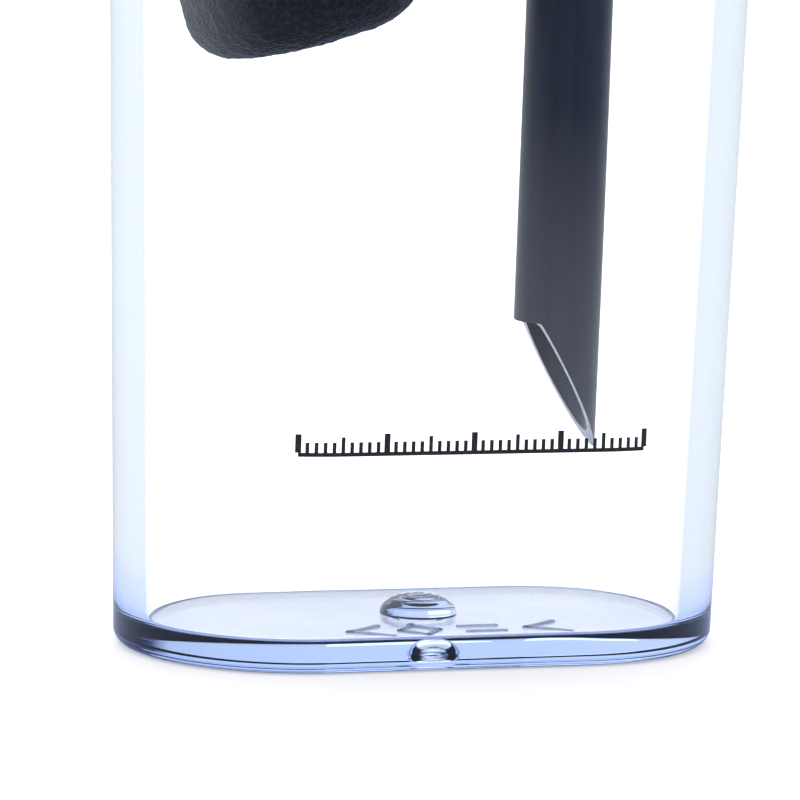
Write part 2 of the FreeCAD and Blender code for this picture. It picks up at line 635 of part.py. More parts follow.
def make_pump_base():
    """Block with the intake, the impeller's chamber, the outlet port and the riser's bore."""
    body = new_body("pump_base")
    block = new_sketch(body)
    add_oblong(block, HEAD_WIDTH, HEAD_DEPTH)
    pad(body, block, S["base_height"])
    top = S["base_height"]
    eye = S["plenum_floor"] + S["plenum_height"]
    chamber = new_sketch(body, lift=top)
    add_circle(chamber, S["volute_radius"], -PUMP_X)
    cut_down(body, chamber, top - eye)
    seat = new_sketch(body, lift=top)
    add_circle(seat, CAN_FLANGE_RADIUS, -PUMP_X)
    cut_down(body, seat, S["can_flange"] + S["can_seal_height"])
    intake = new_sketch(body, lift=S["plenum_floor"])
    add_box(intake, -PLENUM_LEFT, -PLENUM_RIGHT, FRONT_Y - 1, S["plenum_back"])
    cut_up(body, intake, S["plenum_height"])
    bores = new_sketch(body, lift=ZERO)
    add_circle(bores, S["port_radius"], -PORT_X)
    add_circle(bores, S["tube_radius"] + S["slip_gap"], S["riser_offset"])
    cut_up(body, bores, top)
    pilots = new_sketch(body, lift=top)
    for x, y in SCREW_PLACES:
        add_circle(pilots, S["screw_radius"], x, y)
    cut_down(body, pilots, S["screw_bite"] + 1)
    lid_pilots = new_sketch(body)
    for x, y in LID_SCREW_PLACES:
        add_circle(lid_pilots, S["screw_radius"], x, y)
    cut_up(body, lid_pilots, S["lid_screw_length"])
    place(body, z=BASE_Z)


def make_eye_plate():
    """Floor of the impeller's chamber, with the suction holes and the lower bush's seat."""
    body = new_body("eye_plate")
    disc = new_sketch(body)
    add_circle(disc, S["volute_radius"])
    add_circle(disc, S["lower_bush_radius"])
    add_circle(disc, S["port_radius"], PUMP_X - PORT_X)
    half, high = S["eye_ring"] * 0.26, S["eye_ring"] * 0.966
    for x, y in ((S["eye_ring"], ZERO), (half, high), (half, -high)):
        add_circle(disc, S["eye_hole"], x, y)
    pad(body, disc, S["eye_thickness"])
    place(body, x=-PUMP_X, z=EYE_Z)


def make_bush(name, radius, height, low):
    """Rubber bush that holds one end of the shaft."""
    body = new_body(name)
    ring = new_sketch(body)
    add_circle(ring, radius)
    add_circle(ring, S["shaft_radius"])
    pad(body, ring, height)
    round_edges(body, radius * 0.1, lambda box: abs(box.XLength - 2 * radius.value) < 1e-3)
    place(body, x=-PUMP_X, z=low)


def make_pump_shaft():
    """Ceramic shaft that stands still while the rotor turns on it."""
    body = new_body("pump_shaft")
    disc = new_sketch(body)
    add_circle(disc, S["shaft_radius"])
    pad(body, disc, CAN_TOP - S["can_wall"] - EYE_Z)
    place(body, x=-PUMP_X, z=EYE_Z)


def make_impeller():
    """Straight-vaned impeller with the sleeve that carries the magnet."""
    body = new_body("impeller")
    bore = S["shaft_radius"] + S["running_gap"]
    disc_low = IMPELLER_TOP - S["impeller_disc"]
    turn(body, [
        (bore, IMPELLER_Z), (S["sleeve_radius"], IMPELLER_Z), (S["sleeve_radius"], disc_low),
        (IMPELLER_RADIUS, disc_low), (IMPELLER_RADIUS, IMPELLER_TOP),
        (S["sleeve_radius"], IMPELLER_TOP), (S["sleeve_radius"], SLEEVE_TOP), (bore, SLEEVE_TOP)])
    vane = new_sketch(body, lift=IMPELLER_Z)
    add_box(vane, S["sleeve_radius"] - 0.4, IMPELLER_RADIUS,
            -S["vane_thickness"] / 2, S["vane_thickness"] / 2)
    blade = pad(body, vane, IMPELLER_TOP - IMPELLER_Z)
    pattern = body.newObject("PartDesign::PolarPattern", "impeller_vanes")
    pattern.Originals = [blade]
    pattern.Axis = (vane, ["N_Axis"])
    pattern.Angle = 360
    pattern.setExpression("Occurrences", S["vane_count"].formula)
    body.Tip = pattern
    place(body, x=-PUMP_X)


def make_rotor_magnet():
    """Ring magnet on the impeller's sleeve."""
    body = new_body("rotor_magnet")
    ring = new_sketch(body)
    add_circle(ring, MAGNET_RADIUS)
    add_circle(ring, S["sleeve_radius"])
    pad(body, ring, S["magnet_height"])
    place(body, x=-PUMP_X, z=SLEEVE_TOP - S["magnet_height"])


def make_rotor_can():
    """Thin can that keeps water away from the coil."""
    body = new_body("rotor_can")
    inside = CAN_RADIUS - S["can_wall"]
    turn(body, [
        (inside, CAN_FLOOR), (CAN_FLANGE_RADIUS, CAN_FLOOR), (CAN_FLANGE_RADIUS, MOTOR_Z),
        (CAN_RADIUS, MOTOR_Z), (CAN_RADIUS, CAN_TOP), (0, CAN_TOP),
        (0, CAN_TOP - S["can_wall"]), (inside, CAN_TOP - S["can_wall"])])
    gas = new_sketch(body, lift=CAN_FLOOR)
    add_circle(gas, S["gas_pipe_radius"], -GAS_SIDE, -GAS_Y)
    cut_up(body, gas, S["can_flange"])
    place(body, x=-PUMP_X)


def make_can_seal():
    """Sealing ring under the can's flange."""
    body = new_body("can_seal")
    ring = new_sketch(body)
    add_circle(ring, CAN_FLANGE_RADIUS)
    add_circle(ring, S["volute_radius"])
    pad(body, ring, S["can_seal_height"])
    place(body, x=-PUMP_X, z=CAN_FLOOR - S["can_seal_height"])


YOKE_Z = CAN_TOP + S["yoke_lift"]


def make_stator_core():
    """U-shaped stack of laminations whose poles stand either side of the can."""
    body = new_body("stator_core")
    side = new_sketch(body, "YZ")
    foot, top = MOTOR_Z + S["leg_lift"], YOKE_Z + S["yoke_height"]
    add_outline(side, [
        (-CORE_REACH, foot), (-LEG_INSIDE, foot), (-LEG_INSIDE, YOKE_Z), (LEG_INSIDE, YOKE_Z),
        (LEG_INSIDE, foot), (CORE_REACH, foot), (CORE_REACH, top), (-CORE_REACH, top)])
    pad(body, side, CORE_WIDTH, both_ways=True)
    bore = new_sketch(body, lift=MOTOR_Z)
    add_circle(bore, CAN_RADIUS + S["pole_gap"])
    cut_up(body, bore, S["can_height"] + S["pole_gap"])
    place(body, x=-PUMP_X)


def rectangle_about(sketch, half_width, low, high):
    add_box(sketch, -half_width, half_width, low, high)


def make_coil_bobbin():
    """Bobbin round the stator's yoke."""
    body = new_body("coil_bobbin")
    half = CORE_WIDTH / 2
    wall, build = S["bobbin_wall"], S["coil_build"]
    top = YOKE_Z + S["yoke_height"]
    length = (LEG_INSIDE - S["bobbin_gap"]) * 2
    tube = new_sketch(body, "XZ")
    rectangle_about(tube, half + wall, YOKE_Z - wall, top + wall)
    pad(body, tube, length, both_ways=True)
    for side, backwards in ((1, True), (-1, False)):
        cheek = new_sketch(body, "XZ", lift=length / 2 * side)
        rim = wall + build
        rectangle_about(cheek, half + rim, YOKE_Z - rim, top + rim)
        pad(body, cheek, wall, backwards=backwards)
    hollow = new_sketch(body, "XZ")
    rectangle_about(hollow, half, YOKE_Z, top)
    feature(body, "Pocket", hollow, length * 2, both_ways=True)
    place(body, x=-PUMP_X)


def make_stator_coil():
    """Copper winding on the bobbin."""
    body = new_body("stator_coil")
    half = CORE_WIDTH / 2
    wall, build = S["bobbin_wall"], S["coil_build"]
    top = YOKE_Z + S["yoke_height"]
    ring = new_sketch(body, "XZ")
    rectangle_about(ring, half + wall + build, YOKE_Z - wall - build, top + wall + build)
    rectangle_about(ring, half + wall, YOKE_Z - wall, top + wall)
    pad(body, ring, (LEG_INSIDE - S["bobbin_gap"] - wall) * 2, both_ways=True)
    far = half.value + wall.value + build.value
    round_edges(body, build * 0.7, lambda box: box.YLength > 1 and box.XLength < 1e-4
                and abs(abs(box.XMin) - far) < 1e-3)
    place(body, x=-PUMP_X)


# ---- Housing ----

def make_motor_housing():
    """Shell round the motor, with screw bosses inside and the bracket's rail behind."""
    body = new_body("motor_housing")
    oblong_ring(body, HEAD_WIDTH, HEAD_DEPTH, S["head_wall"], S["motor_height"])
    bosses = new_sketch(body)
    for x, y in SCREW_PLACES:
        add_circle(bosses, S["boss_radius"], x, y)
    pad(body, bosses, S["motor_height"])
    pilots = new_sketch(body)
    for x, y in SCREW_PLACES:
        add_circle(pilots, S["screw_radius"] + S["screw_slack"], x, y)
    cut_up(body, pilots, S["motor_height"])
    rail = new_sketch(body, lift=S["rail_lift"])
    root = BACK_Y - S["head_wall"] / 2
    tip = BACK_Y + S["rail_depth"]
    add_outline(rail, [
        (-S["rail_neck"] / 2, root), (S["rail_neck"] / 2, root),
        (S["rail_width"] / 2, tip), (-S["rail_width"] / 2, tip)])
    pad(body, rail, S["rail_length"])
    stop = new_sketch(body, lift=S["rail_lift"] + S["rail_length"])
    add_box(stop, -S["shoe_width"] / 2, S["shoe_width"] / 2, root, tip)
    pad(body, stop, S["rail_stop"])
    place(body, z=MOTOR_Z)


def make_cap_seal():
    """Gasket between the motor housing and the top cap."""
    body = new_body("cap_seal")
    oblong_ring(body, HEAD_WIDTH - 0.4, HEAD_DEPTH - 0.4, S["head_wall"] - 0.2, S["gasket_thickness"])
    place(body, z=CAP_Z - S["gasket_thickness"])


def make_top_cap():
    """Cap with the nozzle's socket and the holes for gas, cable and screws."""
    body = new_body("top_cap")
    plate = new_sketch(body)
    add_oblong(plate, HEAD_WIDTH, HEAD_DEPTH)
    pad(body, plate, S["cap_thickness"])
    round_edges(body, S["cap_round"], at_height(S["cap_thickness"]))
    bore = STEM_RADIUS + S["swivel_gap"]
    collar = new_sketch(body)
    add_circle(collar, bore + S["socket_wall"], S["riser_offset"])
    pad(body, collar, SOCKET_TOP - CAP_Z)
    stem = new_sketch(body, lift=SOCKET_TOP - CAP_Z)
    add_circle(stem, bore, S["riser_offset"])
    cut_down(body, stem, S["stem_depth"])
    holes = new_sketch(body)
    add_circle(holes, S["tube_radius"] + S["swivel_gap"], S["riser_offset"])
    add_circle(holes, S["gas_pipe_radius"], -GAS_X, -GAS_Y)
    add_circle(holes, S["gland_neck"], -GLAND_X, S["gland_offset_y"])
    for x, y in SCREW_PLACES:
        add_circle(holes, S["screw_radius"] + S["screw_slack"], x, y)
    cut_up(body, holes, S["cap_thickness"])
    sinks = new_sketch(body, lift=S["cap_thickness"])
    for x, y in SCREW_PLACES:
        add_circle(sinks, S["screw_head_radius"] + S["screw_slack"], x, y)
    cut_down(body, sinks, S["screw_head"])
    place(body, z=CAP_Z)


# ---- Fittings on the cap ----

def part(kind, name, **sizes):
    made = doc.addObject("Part::" + kind, name)
    bind(made, **sizes)
    return made


def bend(name, radius, low):
    """Quarter ring from straight up to straight forward."""
    ring = part("Torus", name, Radius1=S["elbow_radius"], Radius2=radius)
    ring.Angle3 = 90
    place(ring, y=-S["elbow_radius"], z=low, axis=(1, 1, 1), angle=as_size(120))
    return ring


def run_forward(name, radius, length, start, height):
    """Cylinder that points to the front."""
    rod = part("Cylinder", name, Radius=radius, Height=length)
    place(rod, y=start, z=height, axis=(1, 0, 0), angle=as_size(90))
    return rod


def make_outlet_nozzle():
    """Elbow that swivels in the cap's socket and sends the water forward."""
    low = SOCKET_TOP + S["collar_height"]
    level = low + S["elbow_radius"]
    front = -S["elbow_radius"]
    inside = NOZZLE_RADIUS - S["nozzle_wall"]
    floor = STEM_FLOOR + 0.2
    stem = part("Cylinder", "nozzle_stem", Radius=STEM_RADIUS, Height=SOCKET_TOP - floor)
    place(stem, z=floor)
    collar = part("Cylinder", "nozzle_collar", Radius=STEM_RADIUS + S["socket_wall"] * 0.8,
                  Height=S["collar_height"] - 0.2)
    place(collar, z=SOCKET_TOP + 0.2)
    neck = part("Cylinder", "nozzle_neck", Radius=NOZZLE_RADIUS, Height=low - floor)
    place(neck, z=floor)
    outer_run = run_forward("nozzle_run", NOZZLE_RADIUS, S["nozzle_length"], front, level)
    lip = run_forward("nozzle_lip_ring", NOZZLE_RADIUS + S["nozzle_lip"], as_size(1.4),
                      front - S["nozzle_length"] + 1.4, level)
    solid = doc.addObject("Part::MultiFuse", "nozzle_solid")
    solid.Shapes = [stem, collar, neck, bend("nozzle_bend", NOZZLE_RADIUS, low), outer_run, lip]
    stem_bore = part("Cylinder", "nozzle_stem_bore", Radius=STEM_RADIUS - S["stem_wall"],
                     Height=S["stem_depth"])
    place(stem_bore, z=floor - 1)
    neck_bore = part("Cylinder", "nozzle_neck_bore", Radius=inside, Height=low - floor + 2)
    place(neck_bore, z=floor - 2)
    inner_run = run_forward("nozzle_run_bore", inside, S["nozzle_length"] + 1, front, level)
    bore = doc.addObject("Part::MultiFuse", "nozzle_bore")
    bore.Shapes = [stem_bore, neck_bore, bend("nozzle_bend_bore", inside, low), inner_run]
    hollow = doc.addObject("Part::Cut", "nozzle_hollow")
    hollow.Base, hollow.Tool = solid, bore
    groove_outer = part("Cylinder", "nozzle_groove_outer", Radius=STEM_RADIUS + 1,
                        Height=S["ring_height"])
    groove_inner = part("Cylinder", "nozzle_groove_inner", Radius=STEM_RADIUS - S["ring_depth"],
                        Height=S["ring_height"])
    ring_z = STEM_FLOOR + S["stem_depth"] / 2
    place(groove_outer, z=ring_z)
    place(groove_inner, z=ring_z)
    groove = doc.addObject("Part::Cut", "nozzle_groove")
    groove.Base, groove.Tool = groove_outer, groove_inner
    nozzle = doc.addObject("Part::Cut", "outlet_nozzle")
    nozzle.Base, nozzle.Tool = hollow, groove
    nozzle.Label = "outlet_nozzle"
    place(nozzle, x=S["riser_offset"])


def make_nozzle_seal():
    """Sealing ring in the stem's groove."""
    body = new_body("nozzle_seal")
    ring = new_sketch(body)
    add_circle(ring, STEM_RADIUS + S["swivel_gap"] / 2)
    add_circle(ring, STEM_RADIUS - S["ring_depth"])
    pad(body, ring, S["ring_height"])
    place(body, x=S["riser_offset"], z=STEM_FLOOR + S["stem_depth"] / 2)


BARB_FOOT = as_size(1.5)
BARB_BOSS_TOP = as_size(5.0)


def make_gas_barb():
    """Barbed inlet for the carbon dioxide hose, with a threaded boss for its nut."""
    body = new_body("gas_barb")
    corners = [(S["gas_bore"], 0), (S["barb_flange"], 0), (S["barb_flange"], BARB_FOOT),
               (S["barb_boss"], BARB_FOOT), (S["barb_boss"], BARB_BOSS_TOP),
               (S["barb_tip"], BARB_BOSS_TOP)]
    for tooth in range(int(S["barb_teeth"].value)):
        low = BARB_BOSS_TOP + 0.8 + S["barb_pitch"] * tooth
        corners += [(S["barb_tip"], low), (S["barb_tooth"], low + 0.3),
                    (S["barb_tip"], low + S["barb_pitch"] - 0.2)]
    corners.append((S["gas_bore"], BARB_BOSS_TOP + 0.6 + S["barb_pitch"] * S["barb_teeth"]))
    turn(body, corners)
    place(body, x=-GAS_X, y=-GAS_Y, z=CAP_TOP)


def make_barb_nut():
    """Ribbed union nut that clamps the hose on the barb."""
    body = new_body("barb_nut")
    bore = S["barb_boss"] + S["nut_gap"]
    top = S["nut_height"]
    turn(body, [
        (bore, 0), (S["nut_radius"], 0), (S["nut_radius"], top - 0.8), (S["nut_radius"] - 0.8, top),
        (S["hose_radius"], top), (bore, top - S["nut_lip"])])
    notch = new_sketch(body)
    add_circle(notch, as_size(0.55), S["nut_radius"] + 0.25)
    flute = cut_up(body, notch, top)
    pattern = body.newObject("PartDesign::PolarPattern", "nut_flutes")
    pattern.Originals = [flute]
    pattern.Axis = (notch, ["N_Axis"])
    pattern.Angle = 360
    pattern.setExpression("Occurrences", S["nut_ribs"].formula)
    body.Tip = pattern
    place(body, x=-GAS_X, y=-GAS_Y, z=CAP_TOP + BARB_FOOT + 0.1)


def make_gas_pipe():
    """Steel pipe that carries the gas from the barb to the impeller's chamber."""
    body = new_body("gas_pipe")
    ring = new_sketch(body)
    add_circle(ring, S["gas_pipe_radius"])
    add_circle(ring, S["gas_bore"])
    pad(body, ring, CAP_TOP - CAN_FLOOR)
    place(body, x=-GAS_X, y=-GAS_Y, z=CAN_FLOOR)


def make_cable_gland():
    """Ribbed rubber boot for the power cable."""
    body = new_body("cable_gland")
    boot_low, boot_high = as_size(1.4), S["gland_height"]
    ribs = 4
    corners = [(S["cable_radius"], -S["cap_thickness"]), (S["gland_neck"], -S["cap_thickness"]),
               (S["gland_neck"], 0), (S["gland_flange"], 0), (S["gland_flange"], boot_low)]
    step = (boot_high - boot_low) / ribs
    for rib in range(ribs):
        share = 1 - rib / ribs
        reach = S["gland_tip"] + (S["gland_flange"] - 0.4 - S["gland_tip"]) * share
        low = boot_low + step * rib
        corners += [(reach - 0.6, low), (reach - 0.6, low + step * 0.35),
                    (reach, low + step * 0.35), (reach, low + step)]
    corners.append((S["cable_radius"], boot_high))
    turn(body, corners)
    place(body, x=-GLAND_X, y=S["gland_offset_y"], z=CAP_TOP)


# ---- Intake ----

WINDOW_LEFT = -PLENUM_LEFT - S["window_margin"]
WINDOW_RIGHT = S["window_margin"] + S["slider_room"] - PLENUM_RIGHT
WINDOW_LOW = BASE_Z + S["plenum_floor"] - S["window_margin"]
WINDOW_HIGH = EYE_Z + S["window_margin"]
STRAINER_FRONT = FRONT_Y - S["strainer_reach"]
TAB_LOW = WINDOW_LOW + S["strainer_wall"] + 0.5


def make_intake_strainer():
    """Slotted cover over the intake, which pulls off forward for cleaning."""
    body = new_body("intake_strainer")
    wall = S["strainer_wall"]
    face = new_sketch(body, "XZ", lift=-FRONT_Y)
    add_box(face, WINDOW_LEFT, WINDOW_RIGHT, WINDOW_LOW, WINDOW_HIGH)
    pad(body, face, S["strainer_reach"])
    hollow = new_sketch(body, "XZ", lift=-FRONT_Y)
    add_box(hollow, WINDOW_LEFT + wall, WINDOW_RIGHT - wall, WINDOW_LOW + wall, WINDOW_HIGH - wall)
    feature(body, "Pocket", hollow, S["strainer_reach"] - wall, backwards=True)
    round_edges(body, wall * 0.6, lambda box: abs(box.YMin - STRAINER_FRONT.value) < 1e-4
                and abs(box.YMax - STRAINER_FRONT.value) < 1e-4)
    slots = new_sketch(body, "XZ", lift=-STRAINER_FRONT)
    count = int(S["strainer_slots"].value)
    first = WINDOW_LEFT + wall + 1
    pitch = (WINDOW_RIGHT - WINDOW_LEFT - wall * 2 - 2 - S["strainer_slot"]) / (S["strainer_slots"] - 1)
    for number in range(count):
        left = first + pitch * number
        add_box(slots, left, left + S["strainer_slot"],
                TAB_LOW + S["tab_height"] + 1.2, WINDOW_HIGH - wall - 0.4)
    feature(body, "Pocket", slots, wall * 2)
    gate = new_sketch(body, "XZ", lift=-STRAINER_FRONT)
    tab_left = WINDOW_RIGHT - wall - S["slider_gap"] - S["slider_width"] / 2 - S["tab_width"] / 2
    add_box(gate, tab_left - S["slider_travel"] - S["slider_gap"],
            tab_left + S["tab_width"] + S["slider_gap"],
            TAB_LOW - S["slider_gap"], TAB_LOW + S["tab_height"] + S["slider_gap"])
    feature(body, "Pocket", gate, wall * 2)
    place(body)


def make_flow_slider():
    """Plate behind the strainer that closes part of the intake."""
    body = new_body("flow_slider")
    wall = S["strainer_wall"]
    right = WINDOW_RIGHT - wall - S["slider_gap"]
    plate = new_sketch(body, "XZ", lift=-FRONT_Y)
    add_box(plate, right - S["slider_width"], right,
            WINDOW_LOW + wall + S["slider_gap"], WINDOW_HIGH - wall - S["slider_gap"])
    pad(body, plate, S["slider_thickness"])
    tab = new_sketch(body, "XZ", lift=-FRONT_Y)
    middle = right - S["slider_width"] / 2
    add_box(tab, middle - S["tab_width"] / 2, middle + S["tab_width"] / 2,
            TAB_LOW, TAB_LOW + S["tab_height"])
    pad(body, tab, S["strainer_reach"] + S["tab_reach"])
    place(body, y=-S["slider_gap"] * 0.5)


# ---- Suction bracket ----

BRACKET_Z = MOTOR_Z + S["rail_lift"] + S["rail_length"] - S["bracket_height"]
PLATE_Y = BACK_Y + S["rail_depth"] + S["rail_gap"]


def make_suction_bracket():
    """Bracket that slides on the housing's rail and carries two suction cups."""
    body = new_body("suction_bracket")
    plate = new_sketch(body, "XZ", lift=-PLATE_Y)
    add_outline(plate, [
        (-S["bracket_width"] / 2, 2), (2 - S["bracket_width"] / 2, 0),
        (S["bracket_width"] / 2 - 2, 0), (S["bracket_width"] / 2, 2),
        (S["bracket_width"] / 2, S["bracket_height"] - 2),
        (S["bracket_width"] / 2 - 2, S["bracket_height"]),
        (2 - S["bracket_width"] / 2, S["bracket_height"]),
        (-S["bracket_width"] / 2, S["bracket_height"] - 2)])
    pad(body, plate, S["bracket_plate"], backwards=True)
    shoe = new_sketch(body)
    add_box(shoe, -S["shoe_width"] / 2, S["shoe_width"] / 2, BACK_Y + S["rail_gap"], PLATE_Y)
    pad(body, shoe, S["bracket_height"])
    groove = new_sketch(body)
    flare = (S["rail_width"] - S["rail_neck"]) / 2 / (S["rail_depth"] + S["head_wall"] / 2)
    mouth = S["rail_neck"] / 2 + flare * (S["head_wall"] / 2) + S["rail_gap"]
    add_outline(groove, [
        (-mouth, BACK_Y), (mouth, BACK_Y),
        (S["rail_width"] / 2 + S["rail_gap"], PLATE_Y), (-S["rail_width"] / 2 - S["rail_gap"], PLATE_Y)])
    cut_up(body, groove, S["bracket_height"])
    keys = new_sketch(body, "XZ", lift=-PLATE_Y - S["bracket_plate"] - 1)
    for side in (-1, 1):
        add_circle(keys, S["suction_neck"], S["suction_offset"] * side, S["bracket_height"] / 2)
    feature(body, "Pocket", keys, S["bracket_plate"] + 2, backwards=True)
    place(body, z=BRACKET_Z)


def make_suction_cup(name, side):
    """Soft cup whose knob snaps through the bracket's plate."""
    body = new_body(name)
    neck = S["bracket_plate"]
    rise, reach = S["suction_rise"], S["suction_radius"]
    turn(body, [
        (0, -neck - S["knob_height"]), (S["suction_knob"] - 0.6, -neck - S["knob_height"]),
        (S["suction_knob"], -neck), (S["suction_neck"], -neck), (S["suction_neck"], 0),
        (reach * 0.42, 0), (reach * 0.5, rise * 0.3), (reach * 0.78, rise * 0.6), (reach, rise - 0.6),
        (reach, rise), (reach * 0.72, rise * 0.78), (reach * 0.4, rise * 0.52), (0, rise * 0.45)])
    place(body, x=S["suction_offset"] * side, y=PLATE_Y + neck,
          z=BRACKET_Z + S["bracket_height"] / 2, axis=(-1, 0, 0), angle=as_size(90))


def build():
    """Makes every sub-part."""
    make_reaction_cup()
    make_cup_lid()
    make_lid_seal()
    make_screws("lid_screws", LID_SCREW_PLACES, S["cup_height"], S["lid_screw_length"], True)
    make_riser_tube()
    make_riser_grommet()
    make_foam_spigot()
    make_diffusing_foam()
    make_pump_base()
    make_eye_plate()
    make_bush("lower_bush", S["lower_bush_radius"], S["lower_bush_height"], EYE_Z)
    make_bush("upper_bush", S["upper_bush_radius"], S["upper_bush_height"],
              CAN_TOP - S["can_wall"] - S["upper_bush_height"])
    make_pump_shaft()
    make_impeller()
    make_rotor_magnet()
    make_rotor_can()
    make_can_seal()
    make_stator_core()
    make_coil_bobbin()
    make_stator_coil()
    make_motor_housing()
    make_cap_seal()
    make_top_cap()
    screw_top = CAP_TOP - S["screw_head"]
    make_screws("housing_screws", SCREW_PLACES, screw_top,
                screw_top - MOTOR_Z + S["screw_bite"], False)
    make_outlet_nozzle()
    make_nozzle_seal()
    make_gas_barb()
    make_barb_nut()
    make_gas_pipe()
    make_cable_gland()
    make_intake_strainer()
    make_flow_slider()
    make_suction_bracket()
    make_suction_cup("suction_cup_left", -1)
    make_suction_cup("suction_cup_right", 1)
    doc.recompute()


NODES = [
    "reaction_cup", "cup_lid", "lid_seal", "lid_screws", "riser_tube", "riser_grommet",
    "foam_spigot", "diffusing_foam", "pump_base", "eye_plate", "lower_bush", "upper_bush",
    "pump_shaft", "impeller", "rotor_magnet", "rotor_can", "can_seal", "stator_core",
    "coil_bobbin", "stator_coil", "motor_housing", "cap_seal", "top_cap", "housing_screws",
    "outlet_nozzle", "nozzle_seal", "gas_barb", "barb_nut", "gas_pipe", "cable_gland",
    "intake_strainer", "flow_slider", "suction_bracket", "suction_cup_left", "suction_cup_right",
]


def check_and_write():
    """Stops if anything failed, then writes one file per sub-part."""
    failed = [thing.Name for thing in doc.Objects
              if "Invalid" in thing.State or "Error" in thing.State]
    if failed:
        raise RuntimeError("not recomputed: " + ", ".join(failed))
    for name in NODES:
        shape = doc.getObject(name).Shape
        if shape.isNull() or not shape.isValid() or not shape.Solids:
            raise RuntimeError("no valid solid: " + name)
        print("%-18s %d solid(s) %8.1f mm3" % (name, len(shape.Solids), shape.Volume))
    os.makedirs("parts", exist_ok=True)
    for name in NODES:
        doc.getObject(name).Shape.exportStep("parts/%s.step" % name)


build()
check_and_write()
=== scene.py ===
# %% [markdown]
# # A pump-driven carbon dioxide diffuser
# The object is a clear oblong cup under a small pump head. Inside the cup hang a grey riser
# tube, cut off at a slant, and a plug of black foam. The frame holds every part's true place
# and size, so this notebook only makes surfaces and finishes, and never moves a part.

# %% Load the frame
import math

import bmesh
import bpy
from mathutils import Matrix, Vector, noise


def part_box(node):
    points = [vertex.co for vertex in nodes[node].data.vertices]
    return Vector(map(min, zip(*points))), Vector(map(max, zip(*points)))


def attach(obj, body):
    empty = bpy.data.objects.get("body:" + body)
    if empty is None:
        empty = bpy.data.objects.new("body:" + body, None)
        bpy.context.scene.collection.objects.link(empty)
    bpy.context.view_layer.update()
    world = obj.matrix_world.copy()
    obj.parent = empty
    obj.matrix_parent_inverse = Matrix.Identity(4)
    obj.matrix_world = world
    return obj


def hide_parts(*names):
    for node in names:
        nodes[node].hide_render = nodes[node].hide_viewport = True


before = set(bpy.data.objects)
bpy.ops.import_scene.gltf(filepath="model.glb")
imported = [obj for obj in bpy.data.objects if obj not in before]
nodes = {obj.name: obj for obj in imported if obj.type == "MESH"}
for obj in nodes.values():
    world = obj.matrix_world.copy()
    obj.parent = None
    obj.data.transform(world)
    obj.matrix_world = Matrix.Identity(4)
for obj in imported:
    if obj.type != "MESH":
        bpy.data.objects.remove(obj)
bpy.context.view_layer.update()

MM = 0.001
scene = bpy.context.scene

# %% [markdown]
# ## Camera
# A long lens from about a third of a metre, a little left of the front and a little above the
# table, rolled by a degree or two about its own axis. The matrix is built from three
# directions, because that says plainly where right, up and back are.

# %% Camera
AZIMUTH, ELEVATION, ROLL = (math.radians(a) for a in (-17.23, 7.9, 1.57))
CAMERA_DISTANCE = 347.5 * MM
CAMERA_TARGET = Vector((-1.45, 0, 16.69)) * MM
LENS_MM, SENSOR_MM = 228.0, 36.0


def make_camera():
    """Looks at the lower part of the cup from the front left."""
    back = Vector((math.sin(AZIMUTH) * math.cos(ELEVATION),
                   -math.cos(AZIMUTH) * math.cos(ELEVATION), math.sin(ELEVATION)))
    right = (-back).cross(Vector((0, 0, 1))).normalized()
    up = right.cross(-back)
    level_right = right * math.cos(ROLL) + up * math.sin(ROLL)
    level_up = up * math.cos(ROLL) - right * math.sin(ROLL)
    data = bpy.data.cameras.new("camera")
    data.lens, data.sensor_width = LENS_MM, SENSOR_MM
    data.clip_start, data.clip_end = 0.01, 20
    camera = bpy.data.objects.new("camera", data)
    place = CAMERA_TARGET + back * CAMERA_DISTANCE
    turn = Matrix((level_right, level_up, back)).transposed().to_4x4()
    camera.matrix_world = Matrix.Translation(place) @ turn
    scene.collection.objects.link(camera)
    scene.camera = camera
    print("camera at", [round(c, 4) for c in place])


make_camera()

# %% [markdown]
# ## Small tools
# A material here is a node tree made in code. These helpers keep each finish short: one starts
# a shader, one adds a node and sets its sockets, one joins two sockets, and three more let a
# pattern drive the colour, the gloss or the bumps.

# %% Node helpers


def start_finish(name, **sockets):
    """A material and its main shader, with constant sockets set on the shader itself."""
    finish = bpy.data.materials.new(name)
    finish.use_nodes = True
    shader = finish.node_tree.nodes["Principled BSDF"]
    for socket, value in sockets.items():
        shader.inputs[socket.replace("_", " ")].default_value = value
    return finish, finish.node_tree, shader


def add(tree, kind, settings=None, **sockets):
    node = tree.nodes.new("ShaderNode" + kind)
    for key, value in (settings or {}).items():
        setattr(node, key, value)
    for socket, value in sockets.items():
        node.inputs[socket.replace("_", " ")].default_value = value
    return node


def wire(tree, start, out, end, into):
    tree.links.new(start.outputs[out], end.inputs[into])


def object_places(tree, stretch=(1, 1, 1)):
    """Object coordinates, stretched per axis."""
    source = add(tree, "TexCoord")
    mapping = add(tree, "Mapping", Scale=stretch)
    wire(tree, source, "Object", mapping, "Vector")
    return mapping


def ramp(tree, stops):
    """A colour ramp from (place, colour) pairs."""
    node = add(tree, "ValToRGB")
    elements = node.color_ramp.elements
    while len(elements) < len(stops):
        elements.new(0.5)
    for element, (place, colour) in zip(elements, stops):
        element.position = place
        element.color = (*colour, 1) if len(colour) == 3 else colour
    return node


def grey(value):
    return (value, value, value)


def has_been(tree, path, kind):
    """1 for a ray that has already been mirrored ("Glossy") or passed through ("Transmission")."""
    test = add(tree, "Math", {"operation": "GREATER_THAN"})
    test.inputs[1].default_value = 0.5
    wire(tree, path, kind + " Depth", test, "Value")
    return test


def paint(tree, shader, pattern, stops, out="Fac"):
    """Colours the surface by a pattern."""
    tone = ramp(tree, stops)
    wire(tree, pattern, out, tone, "Fac")
    wire(tree, tone, "Color", shader, "Base Color")


